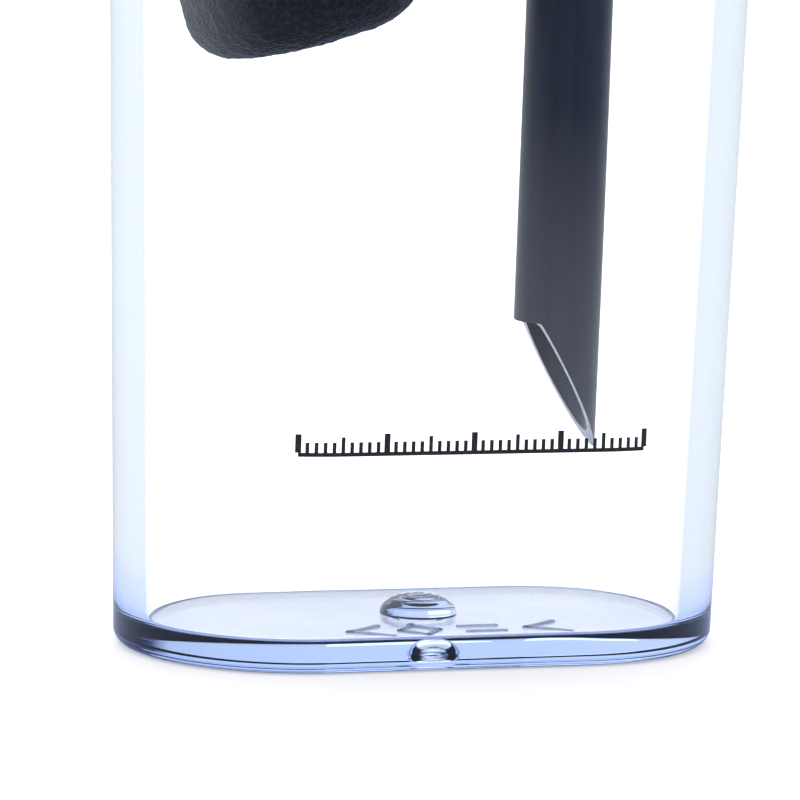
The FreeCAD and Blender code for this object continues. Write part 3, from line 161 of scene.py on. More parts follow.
def vary_gloss(tree, shader, pattern, **span):
    """Lets the roughness follow a pattern."""
    rough = add(tree, "MapRange", **span)
    wire(tree, pattern, "Fac", rough, "Value")
    wire(tree, rough, "Result", shader, "Roughness")


def dent(tree, shader, pattern, strength, distance, out="Fac"):
    """Bumps the surface by a pattern; the distance is in metres."""
    bump = add(tree, "Bump", Strength=strength, Distance=distance)
    wire(tree, pattern, out, bump, "Height")
    wire(tree, bump, "Normal", shader, "Normal")


def mesh_piece(name, bm, finish, body, smooth_angle=35):
    """Turns a bmesh into a piece that rides on a body."""
    bmesh.ops.recalc_face_normals(bm, faces=bm.faces)
    mesh = bpy.data.meshes.new(name)
    bm.to_mesh(mesh)
    bm.free()
    for face in mesh.polygons:
        face.use_smooth = True
    mesh.set_sharp_from_angle(angle=math.radians(smooth_angle))
    for one in finish if isinstance(finish, list) else [finish]:
        mesh.materials.append(one)
    piece = bpy.data.objects.new(name, mesh)
    scene.collection.objects.link(piece)
    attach(piece, body)
    print(name, len(mesh.vertices), "points")
    return piece


def join_loops(bm, loops, close_ends=False):
    """Faces between neighbouring closed loops of equally many points."""
    count = len(loops[0])
    for low, high in zip(loops, loops[1:]):
        for i in range(count):
            j = (i + 1) % count
            bm.faces.new((low[i], low[j], high[j], high[i]))
    if close_ends:
        bm.faces.new(loops[0])
        bm.faces.new(loops[-1])


# %% [markdown]
# ## Light and table
# Clear plastic shows only what is behind it and what its edges bend towards the eye. So the
# room is white where the eye looks straight through, and dark at the far sides. Mirrored rays
# also find it dark in front. Clear glass is lit the same way: a bright field behind it, and
# black cards beside it to draw its edges. The table carries painted light: for mirrored rays a
# painted reflection that fades to dark in front and is painted blue close to the cup, and a
# glow that lifts its shadows, stronger for rays that went through the cup, where it stands in
# for light that passes through the cup.

# %% Room
ROOM_STRENGTH = 1.05
TABLE_GAP = 0.03 * MM
DARK_CARD = (0.020, 0.034, 0.125)
DARK_FRONT = (0.035, 0.045, 0.090)
PALE_CARD = (1.02, 1.03, 1.06)
SEEN_THROUGH = (1.11, 1.11, 1.10)


def make_room():
    """A white room with dark cards at the sides, and a dark front for mirrored rays."""
    world = bpy.data.worlds.new("white_room")
    scene.world = world
    world.use_nodes = True
    tree = world.node_tree
    sky = tree.nodes["Background"]
    sky.inputs["Strength"].default_value = ROOM_STRENGTH
    looks = add(tree, "TexCoord")
    axes = add(tree, "SeparateXYZ")
    wire(tree, looks, "Generated", axes, "Vector")
    sideways = add(tree, "Math", {"operation": "ABSOLUTE"})
    wire(tree, axes, "X", sideways, "Value")
    cards = ramp(tree, [(0.33, SEEN_THROUGH), (0.60, PALE_CARD), (0.83, (0.88, 0.91, 0.99)),
                        (0.93, DARK_CARD)])
    wire(tree, sideways, "Value", cards, "Fac")
    depth = add(tree, "MapRange", From_Min=-1.0, From_Max=1.0)
    wire(tree, axes, "Y", depth, "Value")
    front = ramp(tree, [(0.28, DARK_FRONT), (0.58, grey(1))])
    wire(tree, depth, "Result", front, "Fac")
    mirrored_room = add(tree, "Mix", {"data_type": "RGBA", "blend_type": "MULTIPLY"}, Factor=1.0)
    wire(tree, cards, "Color", mirrored_room, "A")
    wire(tree, front, "Color", mirrored_room, "B")
    path = add(tree, "LightPath")
    mirrored = has_been(tree, path, "Glossy")
    bent = add(tree, "Mix", {"data_type": "RGBA"})
    wire(tree, mirrored, "Value", bent, "Factor")
    wire(tree, cards, "Color", bent, "A")
    wire(tree, mirrored_room, "Result", bent, "B")
    seen = add(tree, "Mix", {"data_type": "RGBA"}, A=(1, 1, 1, 1))
    wire(tree, path, "Is Glossy Ray", seen, "Factor")
    wire(tree, bent, "Result", seen, "B")
    wire(tree, seen, "Result", sky, "Color")


make_room()

# %% Table
# The two tints are painted reflection colours that only mirrored rays see: blue close to the cup, grey
# further off.
PAINTED_NEAR_REFLECTION, NEAR_REACH = (0.50, 0.62, 1.0), 0.027
PAINTED_FAR_REFLECTION, FAR_REACH = (0.72, 0.755, 0.75), 0.044
# Painted light: the table glows though it is no lamp. The glow is small for every ray and lifts its
# shadows, and larger for rays that came through the cup, standing in for light passing through it.
PAINTED_GLOW_SEEN, PAINTED_GLOW_THROUGH = 0.31, 0.9


def white_table_painted_light():
    """Matt white card with painted light: for mirrored rays a painted reflection, dark in front and blue
    near the cup, and a painted glow, stronger for rays that came through the cup.
    """
    finish, tree, shader = start_finish("white_table_painted_light", Roughness=0.6)
    places = object_places(tree)
    tooth = add(tree, "TexNoise", Scale=1500.0, Detail=2.0)
    wire(tree, places, "Vector", tooth, "Vector")
    white = ramp(tree, [(0.3, (0.915, 0.91, 0.925)), (0.7, (0.935, 0.93, 0.94))])
    wire(tree, tooth, "Fac", white, "Fac")
    axes = add(tree, "SeparateXYZ")
    wire(tree, places, "Vector", axes, "Vector")
    # Painted reflection: for mirrored rays the table darkens towards the front.
    fade = add(tree, "MapRange", From_Min=-0.30, From_Max=-0.05, To_Min=0.03, To_Max=0.75)
    wire(tree, axes, "Y", fade, "Value")
    path = add(tree, "LightPath")
    mirrored = has_been(tree, path, "Glossy")
    amount = add(tree, "Mix", {"data_type": "RGBA"}, A=(1, 1, 1, 1))
    wire(tree, mirrored, "Value", amount, "Factor")
    # Painted reflection: blue near the cup, grey further off, for mirrored rays only.
    reach = add(tree, "VectorMath", {"operation": "LENGTH"})
    wire(tree, places, "Vector", reach, "Vector")
    tint = ramp(tree, [(NEAR_REACH, PAINTED_NEAR_REFLECTION), (FAR_REACH, PAINTED_FAR_REFLECTION)])
    wire(tree, reach, "Value", tint, "Fac")
    blue = add(tree, "Mix", {"data_type": "RGBA", "blend_type": "MULTIPLY"}, Factor=1.0)
    wire(tree, fade, "Result", blue, "A")
    wire(tree, tint, "Color", blue, "B")
    wire(tree, blue, "Result", amount, "B")
    shade = add(tree, "Mix", {"data_type": "RGBA", "blend_type": "MULTIPLY"}, Factor=1.0)
    wire(tree, white, "Color", shade, "A")
    wire(tree, amount, "Result", shade, "B")
    wire(tree, shade, "Result", shader, "Base Color")
    # Painted light: the glow depends on whether the ray has passed through the cup.
    through = has_been(tree, path, "Transmission")
    glow = add(tree, "MapRange", To_Min=PAINTED_GLOW_SEEN, To_Max=PAINTED_GLOW_THROUGH)
    wire(tree, through, "Value", glow, "Value")
    wire(tree, shade, "Result", shader, "Emission Color")
    wire(tree, glow, "Result", shader, "Emission Strength")
    return finish


def make_table():
    """A wide pale table top, a hair under the object so that no two faces coincide."""
    size = 6.0
    mesh = bpy.data.meshes.new("table")
    corners = [(-size, -size), (size, -size), (size, size), (-size, size)]
    mesh.from_pydata([(x, y, -TABLE_GAP) for x, y in corners], [], [(0, 1, 2, 3)])
    mesh.materials.append(white_table_painted_light())
    table = bpy.data.objects.new("table", mesh)
    scene.collection.objects.link(table)


make_table()

# %% Lamps and rendering depth


def make_lamp(name, place, width, height, watts):
    """A rectangular soft lamp, aimed at the object; places are in metres."""
    data = bpy.data.lights.new(name, "AREA")
    data.shape = "RECTANGLE"
    data.size, data.size_y, data.energy = width, height, watts
    lamp = bpy.data.objects.new(name, data)
    lamp.location = place
    aim = Vector((0, 0, 0.06)) - Vector(place)
    lamp.rotation_euler = aim.to_track_quat("-Z", "Y").to_euler()
    scene.collection.objects.link(lamp)


make_lamp("key_lamp", (-1.0, -0.9, 1.2), 0.5, 0.9, 2)
make_lamp("fill_lamp", (1.3, -0.5, 0.9), 0.4, 0.8, 1)
make_lamp("back_lamp", (0.1, 1.4, 1.0), 0.9, 0.6, 2)
scene.view_settings.view_transform = "Standard"
scene.cycles.max_bounces = 24
scene.cycles.transmission_bounces = 24
scene.cycles.transparent_max_bounces = 24

# %% [markdown]
# ## The clear cup
# The real cup is injection-moulded from a clear styrene plastic with a faint blue cast. It
# widens upwards so that it leaves its mould, and the plastic enters at the middle of the
# floor, which leaves a small dome inside and a recess below. One closed skin goes round the
# whole wall: up the outside, over the rim and down the inside. Clear plastic needs that,
# because light has to enter and leave one solid.

# %% Measures of the cup, from the frame
cup_low, cup_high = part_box("reaction_cup")
CUP_HEIGHT = cup_high.z - cup_low.z
DRAFT = math.tan(math.radians(1.38))
MOUTH_HALF_X, MOUTH_HALF_Y = cup_high.x, cup_high.y
FOOT_HALF_X = MOUTH_HALF_X - CUP_HEIGHT * DRAFT
FOOT_HALF_Y = MOUTH_HALF_Y - CUP_HEIGHT * DRAFT
CUP_WALL, CUP_FLOOR, FOOT_ROUND = 2.2 * MM, 2.0 * MM, 1.0 * MM
RIM_ROUND, INNER_CORNER = 0.4 * MM, 0.45 * MM
print("foot %.2f x %.2f mm" % (FOOT_HALF_X * 2000, FOOT_HALF_Y * 2000))

# %% The cup's skin
END_STEPS, SIDE_STEPS = 56, 24


def oblong_directions():
    """Where each point of an oblong loop lies: its side of the middle, and its angle."""
    spots = []
    for end, start in ((1, -90), (-1, 90)):
        for step in range(END_STEPS):
            spots.append((end, math.radians(start + 180 * step / END_STEPS)))
        for step in range(SIDE_STEPS):
            spots.append((end * (1 - 2 * step / SIDE_STEPS), math.radians(start + 180)))
    return spots


SPOTS = oblong_directions()


def oblong_loop(bm, half_x, half_y, z):
    straight = half_x - half_y
    return [bm.verts.new((side * straight + half_y * math.cos(angle), half_y * math.sin(angle), z))
            for side, angle in SPOTS]


def round_loop(bm, radius, z):
    """A circle whose points lie in the same directions as the oblong's."""
    straight = FOOT_HALF_X - FOOT_HALF_Y
    loop = []
    for side, angle in SPOTS:
        spot = Vector((side * straight + FOOT_HALF_Y * math.cos(angle),
                       FOOT_HALF_Y * math.sin(angle), 0)).normalized() * radius
        loop.append(bm.verts.new((spot.x, spot.y, z)))
    return loop


def wall_loop(bm, inset, z):
    grow = z * DRAFT - inset
    return oblong_loop(bm, FOOT_HALF_X + grow, FOOT_HALF_Y + grow, z)


def quarter(steps):
    return [math.radians(90 * step / steps) for step in range(steps + 1)]


DOME_RADIUS, DOME_RISE, RIPPLE = 2.65, 1.45, 0.016


def dome_profile():
    """A low round dome with fine turned ripples, from its foot to its top."""
    points = []
    for angle in (math.radians(2.2 * step) for step in range(41)):
        radius = DOME_RADIUS * math.cos(angle)
        points.append((radius, DOME_RISE * math.sin(angle) + RIPPLE * math.sin(radius * 11)))
    return points + [(0.05, DOME_RISE)]


RECESS = [(1.9, 0.0), (1.84, 0.12), (1.7, 0.36), (1.46, 0.62), (1.1, 0.82), (0.7, 0.93),
          (0.35, 0.97), (0.05, 0.98)]
UNDERSIDE_INSETS, FLOOR_INSETS = (6.0, 1.6, 1.08), (3.0, 5.5)
OUTER_HEIGHTS = (1.1, 1.6, 4, 10, 20, 30, 40, 50, 60, 69.2)
INNER_HEIGHTS = (69.2, 60, 50, 40, 30, 20, 10, 5, 2.9)


def make_cup_mesh():
    bm = bmesh.new()
    loops = [round_loop(bm, radius * MM, height * MM) for radius, height in reversed(RECESS)]
    loops += [oblong_loop(bm, FOOT_HALF_X - inset * MM, FOOT_HALF_Y - inset * MM, 0)
              for inset in UNDERSIDE_INSETS]
    for angle in quarter(8):
        height = FOOT_ROUND * (1 - math.cos(angle))
        loops.append(wall_loop(bm, FOOT_ROUND * (1 - math.sin(angle)), height))
    loops += [wall_loop(bm, 0, z * MM) for z in OUTER_HEIGHTS]
    for angle in quarter(4):
        loops.append(wall_loop(bm, RIM_ROUND * (1 - math.cos(angle)),
                               CUP_HEIGHT - RIM_ROUND * (1 - math.sin(angle))))
    for angle in reversed(quarter(4)):
        loops.append(wall_loop(bm, CUP_WALL - RIM_ROUND * (1 - math.cos(angle)),
                               CUP_HEIGHT - RIM_ROUND * (1 - math.sin(angle))))
    loops += [wall_loop(bm, CUP_WALL, z * MM) for z in INNER_HEIGHTS]
    for angle in quarter(5):
        loops.append(wall_loop(bm, CUP_WALL + INNER_CORNER * (1 - math.cos(angle)),
                               CUP_FLOOR + INNER_CORNER * (1 - math.sin(angle))))
    for inset in FLOOR_INSETS:
        loops.append(oblong_loop(bm, FOOT_HALF_X - inset * MM, FOOT_HALF_Y - inset * MM, CUP_FLOOR))
    loops += [round_loop(bm, radius * MM, CUP_FLOOR + height * MM)
              for radius, height in dome_profile()]
    join_loops(bm, loops, close_ends=True)
    return bm


# %% [markdown]
# The finish: refraction of 1.57, no roughness, and a blue that comes from inside. The
# colour is an absorption in the volume, so a short way through the wall stays clear and a long
# way through the edge of the floor turns deep blue. A slow waviness of the moulded skin comes
# from a bump.

# %% Clear styrene finish


def clear_styrene():
    finish, tree, shader = start_finish(
        "clear_styrene", Roughness=0.0, IOR=1.57, Transmission_Weight=1.0, Base_Color=(1, 1, 1, 1))
    depth = add(tree, "VolumeAbsorption", Color=(0.05, 0.38, 0.93, 1), Density=34.0)
    wire(tree, depth, "Volume", tree.nodes["Material Output"], "Volume")
    slow = add(tree, "TexNoise", Scale=90.0, Detail=1.0, Roughness=0.4)
    wire(tree, object_places(tree, (1, 1, 0.35)), "Vector", slow, "Vector")
    dent(tree, shader, slow, 0.05, 0.0006)
    return finish


CLEAR = clear_styrene()
cup = mesh_piece("clear_cup", make_cup_mesh(), CLEAR, "cup")
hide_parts("reaction_cup")

# %% [markdown]
# ## Printed scale and moulded marks
# The cup's front carries a row of black print near its foot, and its floor a few raised marks
# from the mould. Here the print is a plain scale of ticks, a layer of ink a few hundredths of
# a millimetre thick that follows the wall round its bend. The moulded marks are two chevrons,
# a diamond and a pair of bars, thin frosted prisms that lie on the floor.

# %% Where the front wall lies
INK_LIFT, INK_THICK = 0.01 * MM, 0.03 * MM


def front_spot(x, z, lift):
    """A point over the cup's front face, at a height and a place across."""
    straight = FOOT_HALF_X - FOOT_HALF_Y
    reach = FOOT_HALF_Y + z * DRAFT + lift
    past = max(0.0, abs(x) - straight)
    angle = past / reach
    across = min(abs(x), straight) + reach * math.sin(angle)
    return Vector((math.copysign(across, x), -reach * math.cos(angle), z))


def ink_strip(bm, left, right, low, high, steps=1):
    """A thin block of ink that follows the wall."""
    rows = []
    for step in range(steps + 1):
        x = left + (right - left) * step / steps
        rows.append([bm.verts.new(front_spot(x, z, lift))
                     for z, lift in ((low, INK_LIFT), (high, INK_LIFT),
                                     (high, INK_LIFT + INK_THICK), (low, INK_LIFT + INK_THICK))])
    for first, second in zip(rows, rows[1:]):
        for i in range(4):
            j = (i + 1) % 4
            bm.faces.new((first[i], first[j], second[j], second[i]))
    bm.faces.new(rows[0])
    bm.faces.new(rows[-1])


# %% The scale's ticks
SCALE_HALF, SCALE_LOW, TICK_PITCH, TICK_WIDTH = 12.1 * MM, 14.75 * MM, 0.605 * MM, 0.25 * MM
LINE_HEIGHT = 0.27 * MM


def make_scale_mesh():
    """A base line with short, middle and long ticks."""
    bm = bmesh.new()
    ink_strip(bm, -SCALE_HALF, SCALE_HALF, SCALE_LOW, SCALE_LOW + LINE_HEIGHT, steps=60)
    count = round(2 * SCALE_HALF / TICK_PITCH)
    for number in range(count + 1):
        x = -SCALE_HALF + number * TICK_PITCH
        height = 1.5 if number % 10 == 0 else 1.3 if number % 5 == 0 else 0.95
        wide = TICK_WIDTH * (1.6 if number % 10 == 0 else 1.0)
        ink_strip(bm, x - wide / 2, x + wide / 2, SCALE_LOW + LINE_HEIGHT, SCALE_LOW + height * MM)
    print("ticks:", count + 1)
    return bm


def black_ink():
    """Pad-printed ink: nearly black, slightly rough, with pinholes."""
    finish, tree, shader = start_finish("black_ink", Roughness=0.45)
    grain = add(tree, "TexNoise", Scale=5200.0, Detail=3.0)
    wire(tree, object_places(tree), "Vector", grain, "Vector")
    paint(tree, shader, grain, [(0.45, (0.004, 0.004, 0.006)), (0.78, (0.03, 0.03, 0.035))])
    return finish


scale = mesh_piece("printed_scale", make_scale_mesh(), black_ink(), "cup")

# %% The marks on the floor
MARK_LIFT, MARK_THICK, MARK_LINE = 0.02 * MM, 0.16 * MM, 0.48 * MM
CHEVRON = [(1.2, 2.0), (-1.2, 0.0), (1.2, -2.0)]
DIAMOND = [(-1.3, 0.0), (0.0, 2.0), (1.3, 0.0), (0.0, -2.0), (-1.3, 0.0)]
BARS = [[(-1.2, depth), (1.2, depth)] for depth in (1.1, -1.1)]
MARKS = [(-5.7, CHEVRON), (-2.0, DIAMOND), (2.4, BARS[0]), (2.4, BARS[1]), (6.8, CHEVRON)]
MARK_ROW_Y = -6.9


def bar(bm, start, end):
    """A thin prism between two points on the floor, with bevelled sides."""
    along = (end - start).normalized()
    across = Vector((-along.y, along.x, 0)) * MARK_LINE / 2
    rise = Vector((0, 0, MARK_THICK))
    start, end = start - along * MARK_LINE / 2, end + along * MARK_LINE / 2
    low = [bm.verts.new(p) for p in (start - across, end - across, end + across, start + across)]
    high = [bm.verts.new(p + rise) for p in (start - across * 0.6, end - across * 0.6,
                                             end + across * 0.6, start + across * 0.6)]
    join_loops(bm, [low, high], close_ends=True)


def make_marks_mesh():
    bm = bmesh.new()
    for middle, line in MARKS:
        spots = [Vector(((middle + x), MARK_ROW_Y + y, 0)) * MM + Vector((0, 0, CUP_FLOOR + MARK_LIFT))
                 for x, y in line]
        for start, end in zip(spots, spots[1:]):
            bar(bm, start, end)
    return bm


def frosted_marks():
    """Engraved in the mould with a small cutter, so the plastic there is slightly frosted."""
    finish, tree, shader = start_finish("frosted_marks", IOR=1.3, Transmission_Weight=0.7)
    grain = add(tree, "TexNoise", Scale=3000.0, Detail=2.0)
    wire(tree, object_places(tree), "Vector", grain, "Vector")
    paint(tree, shader, grain, [(0.3, (0.66, 0.74, 0.92)), (0.7, (0.80, 0.86, 0.97))])
    vary_gloss(tree, shader, grain, To_Min=0.25, To_Max=0.5)
    return finish


marks = mesh_piece("moulded_marks", make_marks_mesh(), frosted_marks(), "cup")

# %% [markdown]
# ## The riser tube
# A length of extruded grey tube, cut off at a slant with a knife so that it can't suck itself
# shut on the floor. Its mouth is a plane through the tube, so each point round the tube is
# dropped to that plane, and the freshly cut face gets a paler finish of its own, near white:
# partly the paler fresh cut and partly a painted highlight.

# %% Measures of the riser, from the frame
riser_low, riser_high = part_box("riser_tube")
RISER_X = (riser_low.x + riser_high.x) / 2
TUBE_RADIUS = (riser_high.x - riser_low.x) / 2
TUBE_WALL = 0.7 * MM
MOUTH_TIP = riser_low.z
MOUTH_HEEL, MOUTH_FLAT = 22.25 * MM, 1.1 * MM
SLANT = (MOUTH_TIP - MOUTH_HEEL) / (2 * TUBE_RADIUS - MOUTH_FLAT)
TUBE_STEPS = 96


def hose_set(height):
    """Hose comes off a roll, so below the lid it keeps a slight bend to the left."""
    below_lid = max(0.0, CUP_HEIGHT - height) / CUP_HEIGHT
    return -0.62 * MM * below_lid ** 2


def mouth_height(x):
    """Height of the cut at a distance from the tube's axis."""
    past_flat = max(0.0, x + TUBE_RADIUS - MOUTH_FLAT)
    return MOUTH_HEEL + SLANT * past_flat


def tube_loop(bm, radius, lift=None, z=None):
    loop = []
    for step in range(TUBE_STEPS):
        angle = 2 * math.pi * step / TUBE_STEPS
        x, y = radius * math.cos(angle), radius * math.sin(angle)
        height = mouth_height(x) + lift if z is None else z
        loop.append(bm.verts.new((RISER_X + x + hose_set(height), y, height)))
    return loop


def make_tube_mesh():
    bm = bmesh.new()
    inside = TUBE_RADIUS - TUBE_WALL
    edge = 0.06 * MM
    heights = [24, 28, 32, 36, 40, 45, 50, 60, 80, 100, 120]
    loops = [tube_loop(bm, inside, z=riser_high.z)]
    loops += [tube_loop(bm, inside, z=z * MM) for z in reversed(heights)]
    loops += [tube_loop(bm, inside, lift=edge), tube_loop(bm, inside + edge, lift=0)]
    loops += [tube_loop(bm, TUBE_RADIUS - edge, lift=0), tube_loop(bm, TUBE_RADIUS, lift=edge)]
    loops += [tube_loop(bm, TUBE_RADIUS, z=z * MM) for z in heights]
    loops.append(tube_loop(bm, TUBE_RADIUS, z=riser_high.z))
    join_loops(bm, loops + [loops[0]])
    cut_row = len(heights) + 2
    for number, face in enumerate(bm.faces):
        if number // TUBE_STEPS == cut_row:
            face.material_index = 1
    return bm


# %% Slate tube finish


def slate_tube():
    finish, tree, shader = start_finish("slate_tube", Roughness=0.36, IOR=1.5)
    lines = add(tree, "TexNoise", Scale=900.0, Detail=3.0, Roughness=0.6)
    wire(tree, object_places(tree, (1, 1, 0.02)), "Vector", lines, "Vector")
    tone = ramp(tree, [(0.3, (0.009, 0.014, 0.037)), (0.7, (0.018, 0.027, 0.065))])
    wire(tree, lines, "Fac", tone, "Fac")
    specks = add(tree, "TexVoronoi", {"feature": "F1"}, Scale=2600.0)
    wire(tree, object_places(tree), "Vector", specks, "Vector")
    dust = ramp(tree, [(0.04, grey(1.0)), (0.08, grey(0.0))])
    wire(tree, specks, "Distance", dust, "Fac")
    mixed = add(tree, "Mix", {"data_type": "RGBA"})
    wire(tree, dust, "Color", mixed, "Factor")
    wire(tree, tone, "Color", mixed, "A")
    mixed.inputs["B"].default_value = (0.16, 0.17, 0.19, 1)
    wire(tree, mixed, "Result", shader, "Base Color")
    dent(tree, shader, lines, 0.12, 0.0001)
    return finish


# The near-white cut face is partly the paler fresh cut and partly a painted highlight on the mouth.
def cut_tube_painted_highlight():
    finish, tree, shader = start_finish("cut_tube_painted_highlight", Roughness=0.5)
    saw = add(tree, "TexNoise", Scale=2500.0, Detail=4.0)
    wire(tree, object_places(tree), "Vector", saw, "Vector")
    paint(tree, shader, saw, [(0.3, (0.60, 0.63, 0.68)), (0.65, (0.92, 0.94, 0.96))])
    return finish


SLATE = slate_tube()
tube = mesh_piece("grey_riser", make_tube_mesh(), [SLATE, cut_tube_painted_highlight()], "head")
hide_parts("riser_tube")

# %% [markdown]
# ## The foam plug
# Black open-cell foam with cells of a few tenths of a millimetre. It is cut as a short
# cylinder and pushed on to its spigot a little askew. A dense skin with rounded edges is
# roughened by noise at two scales, so the outline itself is bumpy.

# %% Foam mesh
FOAM_RADIUS, FOAM_HEIGHT, FOAM_ROUND = 8.2 * MM, 12.0 * MM, 3.2 * MM
FOAM_TILT = math.radians(17)
FOAM_FOOT = Vector((-8.2, 0, 41.7)) * MM
FOAM_STEPS = 220


def foam_profile():
    """Radius and height along the plug's side, from the middle of its foot to the middle of its top."""
    flat = FOAM_RADIUS - FOAM_ROUND
    side = FOAM_HEIGHT - 2 * FOAM_ROUND
    points = [(flat * step / 24, 0.0) for step in range(1, 24)]
    points += [(flat + FOAM_ROUND * math.sin(a), FOAM_ROUND * (1 - math.cos(a))) for a in quarter(20)]
    points += [(FOAM_RADIUS, FOAM_ROUND + side * step / 22) for step in range(1, 22)]
    points += [(flat + FOAM_ROUND * math.cos(a), FOAM_HEIGHT - FOAM_ROUND * (1 - math.sin(a)))
               for a in quarter(20)]
    points += [(flat * (1 - step / 24), FOAM_HEIGHT) for step in range(1, 24)]
    return points


def make_foam_mesh():
    bm = bmesh.new()
    tilt = Matrix.Rotation(-FOAM_TILT, 3, "Y")
    loops = []
    for radius, height in foam_profile():
        loop = []
        for step in range(FOAM_STEPS):
            angle = 2 * math.pi * step / FOAM_STEPS
            spot = Vector((radius * math.cos(angle), radius * math.sin(angle), height))
            out = Vector((spot.x, spot.y, (height - FOAM_HEIGHT / 2) * 0.8)).normalized()
            cells = noise.fractal(spot * 1400, 0.8, 2.0, 3)
            lumps = noise.noise(spot * 260)
            spot += out * (cells * 0.09 + lumps * 0.12 - 0.1) * MM
            loop.append(bm.verts.new(FOAM_FOOT + tilt @ spot))
        loops.append(loop)
    join_loops(bm, loops, close_ends=True)
    return bm


# %% Foam finish


def black_foam():
    finish, tree, shader = start_finish(
        "black_foam", Roughness=0.85, Sheen_Weight=0.25, Sheen_Roughness=0.4,
        Sheen_Tint=(0.62, 0.70, 0.95, 1))
    places = object_places(tree)
    cells = add(tree, "TexVoronoi", {"feature": "F1"}, Scale=3400.0)
    wire(tree, places, "Vector", cells, "Vector")
    stops = [(0.05, (0.001, 0.001, 0.002)), (0.5, (0.006, 0.007, 0.014)), (0.9, (0.020, 0.024, 0.042))]
    paint(tree, shader, cells, stops, out="Distance")
    dent(tree, shader, cells, 0.7, 0.00018, out="Distance")
    return finish


FOAM = black_foam()
foam = mesh_piece("foam_plug", make_foam_mesh(), FOAM, "head", smooth_angle=180)
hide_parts("diffusing_foam")

# %% [markdown]
# ## The head's dry and wet plastics
# Everything over the cup is moulded from a dark plastic whose mould was spark-eroded, so the
# skin is finely pitted and a little uneven in gloss. The fittings come in a bluer slate. One
# function makes both, from two tones, a gloss and the size of the pits.

# %% Moulded plastic


def moulded_plastic(name, low, high, gloss, pit_scale=5200.0):
    finish, tree, shader = start_finish(name, IOR=1.5)
    places = object_places(tree)
    pits = add(tree, "TexNoise", Scale=pit_scale, Detail=2.0, Roughness=0.7)
    flow = add(tree, "TexNoise", Scale=70.0, Detail=3.0, Roughness=0.55)
    for pattern in (pits, flow):
        wire(tree, places, "Vector", pattern, "Vector")
    paint(tree, shader, flow, [(0.3, low), (0.7, high)])
    vary_gloss(tree, shader, flow, From_Min=0.3, From_Max=0.7, To_Min=gloss, To_Max=gloss + 0.14)
    dent(tree, shader, pits, 0.35, 0.00006)
    return finish


CHARCOAL = moulded_plastic("charcoal_plastic", (0.014, 0.015, 0.018), (0.026, 0.027, 0.031), 0.42)
FITTING = moulded_plastic("slate_fitting", (0.045, 0.055, 0.072), (0.07, 0.083, 0.105), 0.34, 6500.0)
RUBBER = moulded_plastic("black_rubber", (0.008, 0.008, 0.009), (0.02, 0.02, 0.021), 0.62, 3600.0)
NYLON = moulded_plastic("white_nylon", (0.66, 0.65, 0.61), (0.78, 0.77, 0.73), 0.38, 3000.0)
CERAMIC = moulded_plastic("white_ceramic", (0.78, 0.77, 0.74), (0.86, 0.85, 0.83), 0.12, 9000.0)
FERRITE = moulded_plastic("black_ferrite", (0.03, 0.03, 0.033), (0.065, 0.063, 0.062), 0.5, 2600.0)

# %% [markdown]
# ## Metals and clear rubbers
# Drawn stainless steel shows fine lines along its length. The stator core is a stack of sheets,
# so it is striped across its width, and the coil is enamelled wire, laid side by side. For the
# core and the coil a wave drives both the tone and the bump; for the steel a stretched noise
# drives the tone and the gloss.

# %% Metals


def striped_metal(name, low, high, gloss, direction, scale):
    """Metal with ridges that repeat along one axis."""
    finish, tree, shader = start_finish(name, Metallic=1.0, Roughness=gloss)
    stripes = add(tree, "TexWave", {"wave_type": "BANDS", "bands_direction": direction},
                  Scale=scale, Distortion=0.4, Detail=2.0)
    wire(tree, object_places(tree), "Vector", stripes, "Vector")
    paint(tree, shader, stripes, [(0.15, low), (0.6, high)])
    dent(tree, shader, stripes, 0.6, 0.00012)
    return finish


def drawn_steel():
    finish, tree, shader = start_finish("stainless", Metallic=1.0)
    lines = add(tree, "TexNoise", Scale=2400.0, Detail=3.0)
    wire(tree, object_places(tree, (1, 1, 0.05)), "Vector", lines, "Vector")
    paint(tree, shader, lines, [(0.3, grey(0.48)), (0.7, (0.70, 0.70, 0.69))])
    vary_gloss(tree, shader, lines, From_Min=0.3, From_Max=0.7, To_Min=0.2, To_Max=0.36)
    return finish


STEEL = drawn_steel()
CORE = striped_metal("laminated_steel", grey(0.10), (0.36, 0.35, 0.34), 0.42, "X", 320.0)
COPPER = striped_metal("copper_winding", (0.30, 0.10, 0.035), (0.72, 0.33, 0.14), 0.3, "Y", 520.0)

# %% Clear rubbers


def clear_rubber(name, tint, gloss, body_weight):
    """Vinyl or silicone: cloudy inside, a little rough outside."""
    finish, tree, shader = start_finish(name, IOR=1.48, Transmission_Weight=body_weight)
    cloud = add(tree, "TexNoise", Scale=260.0, Detail=3.0)
    wire(tree, object_places(tree), "Vector", cloud, "Vector")
    paint(tree, shader, cloud, [(0.3, tuple(c * 0.93 for c in tint)), (0.7, tint)])
    vary_gloss(tree, shader, cloud, From_Min=0.3, From_Max=0.7, To_Min=gloss, To_Max=gloss + 0.1)
    dent(tree, shader, cloud, 0.15, 0.0003)
    return finish


VINYL = clear_rubber("soft_vinyl", (0.90, 0.93, 0.95), 0.14, 0.9)
SILICONE = clear_rubber("clear_silicone", (0.88, 0.89, 0.90), 0.3, 0.75)

# %% [markdown]
# ## Carried-over parts
# Shells, shafts and the stator are right as the frame gives them. They get their finish, and
# where an edge shows, a small bevel, because no moulding has a knife-sharp edge and it is the
# bevel that catches the light.

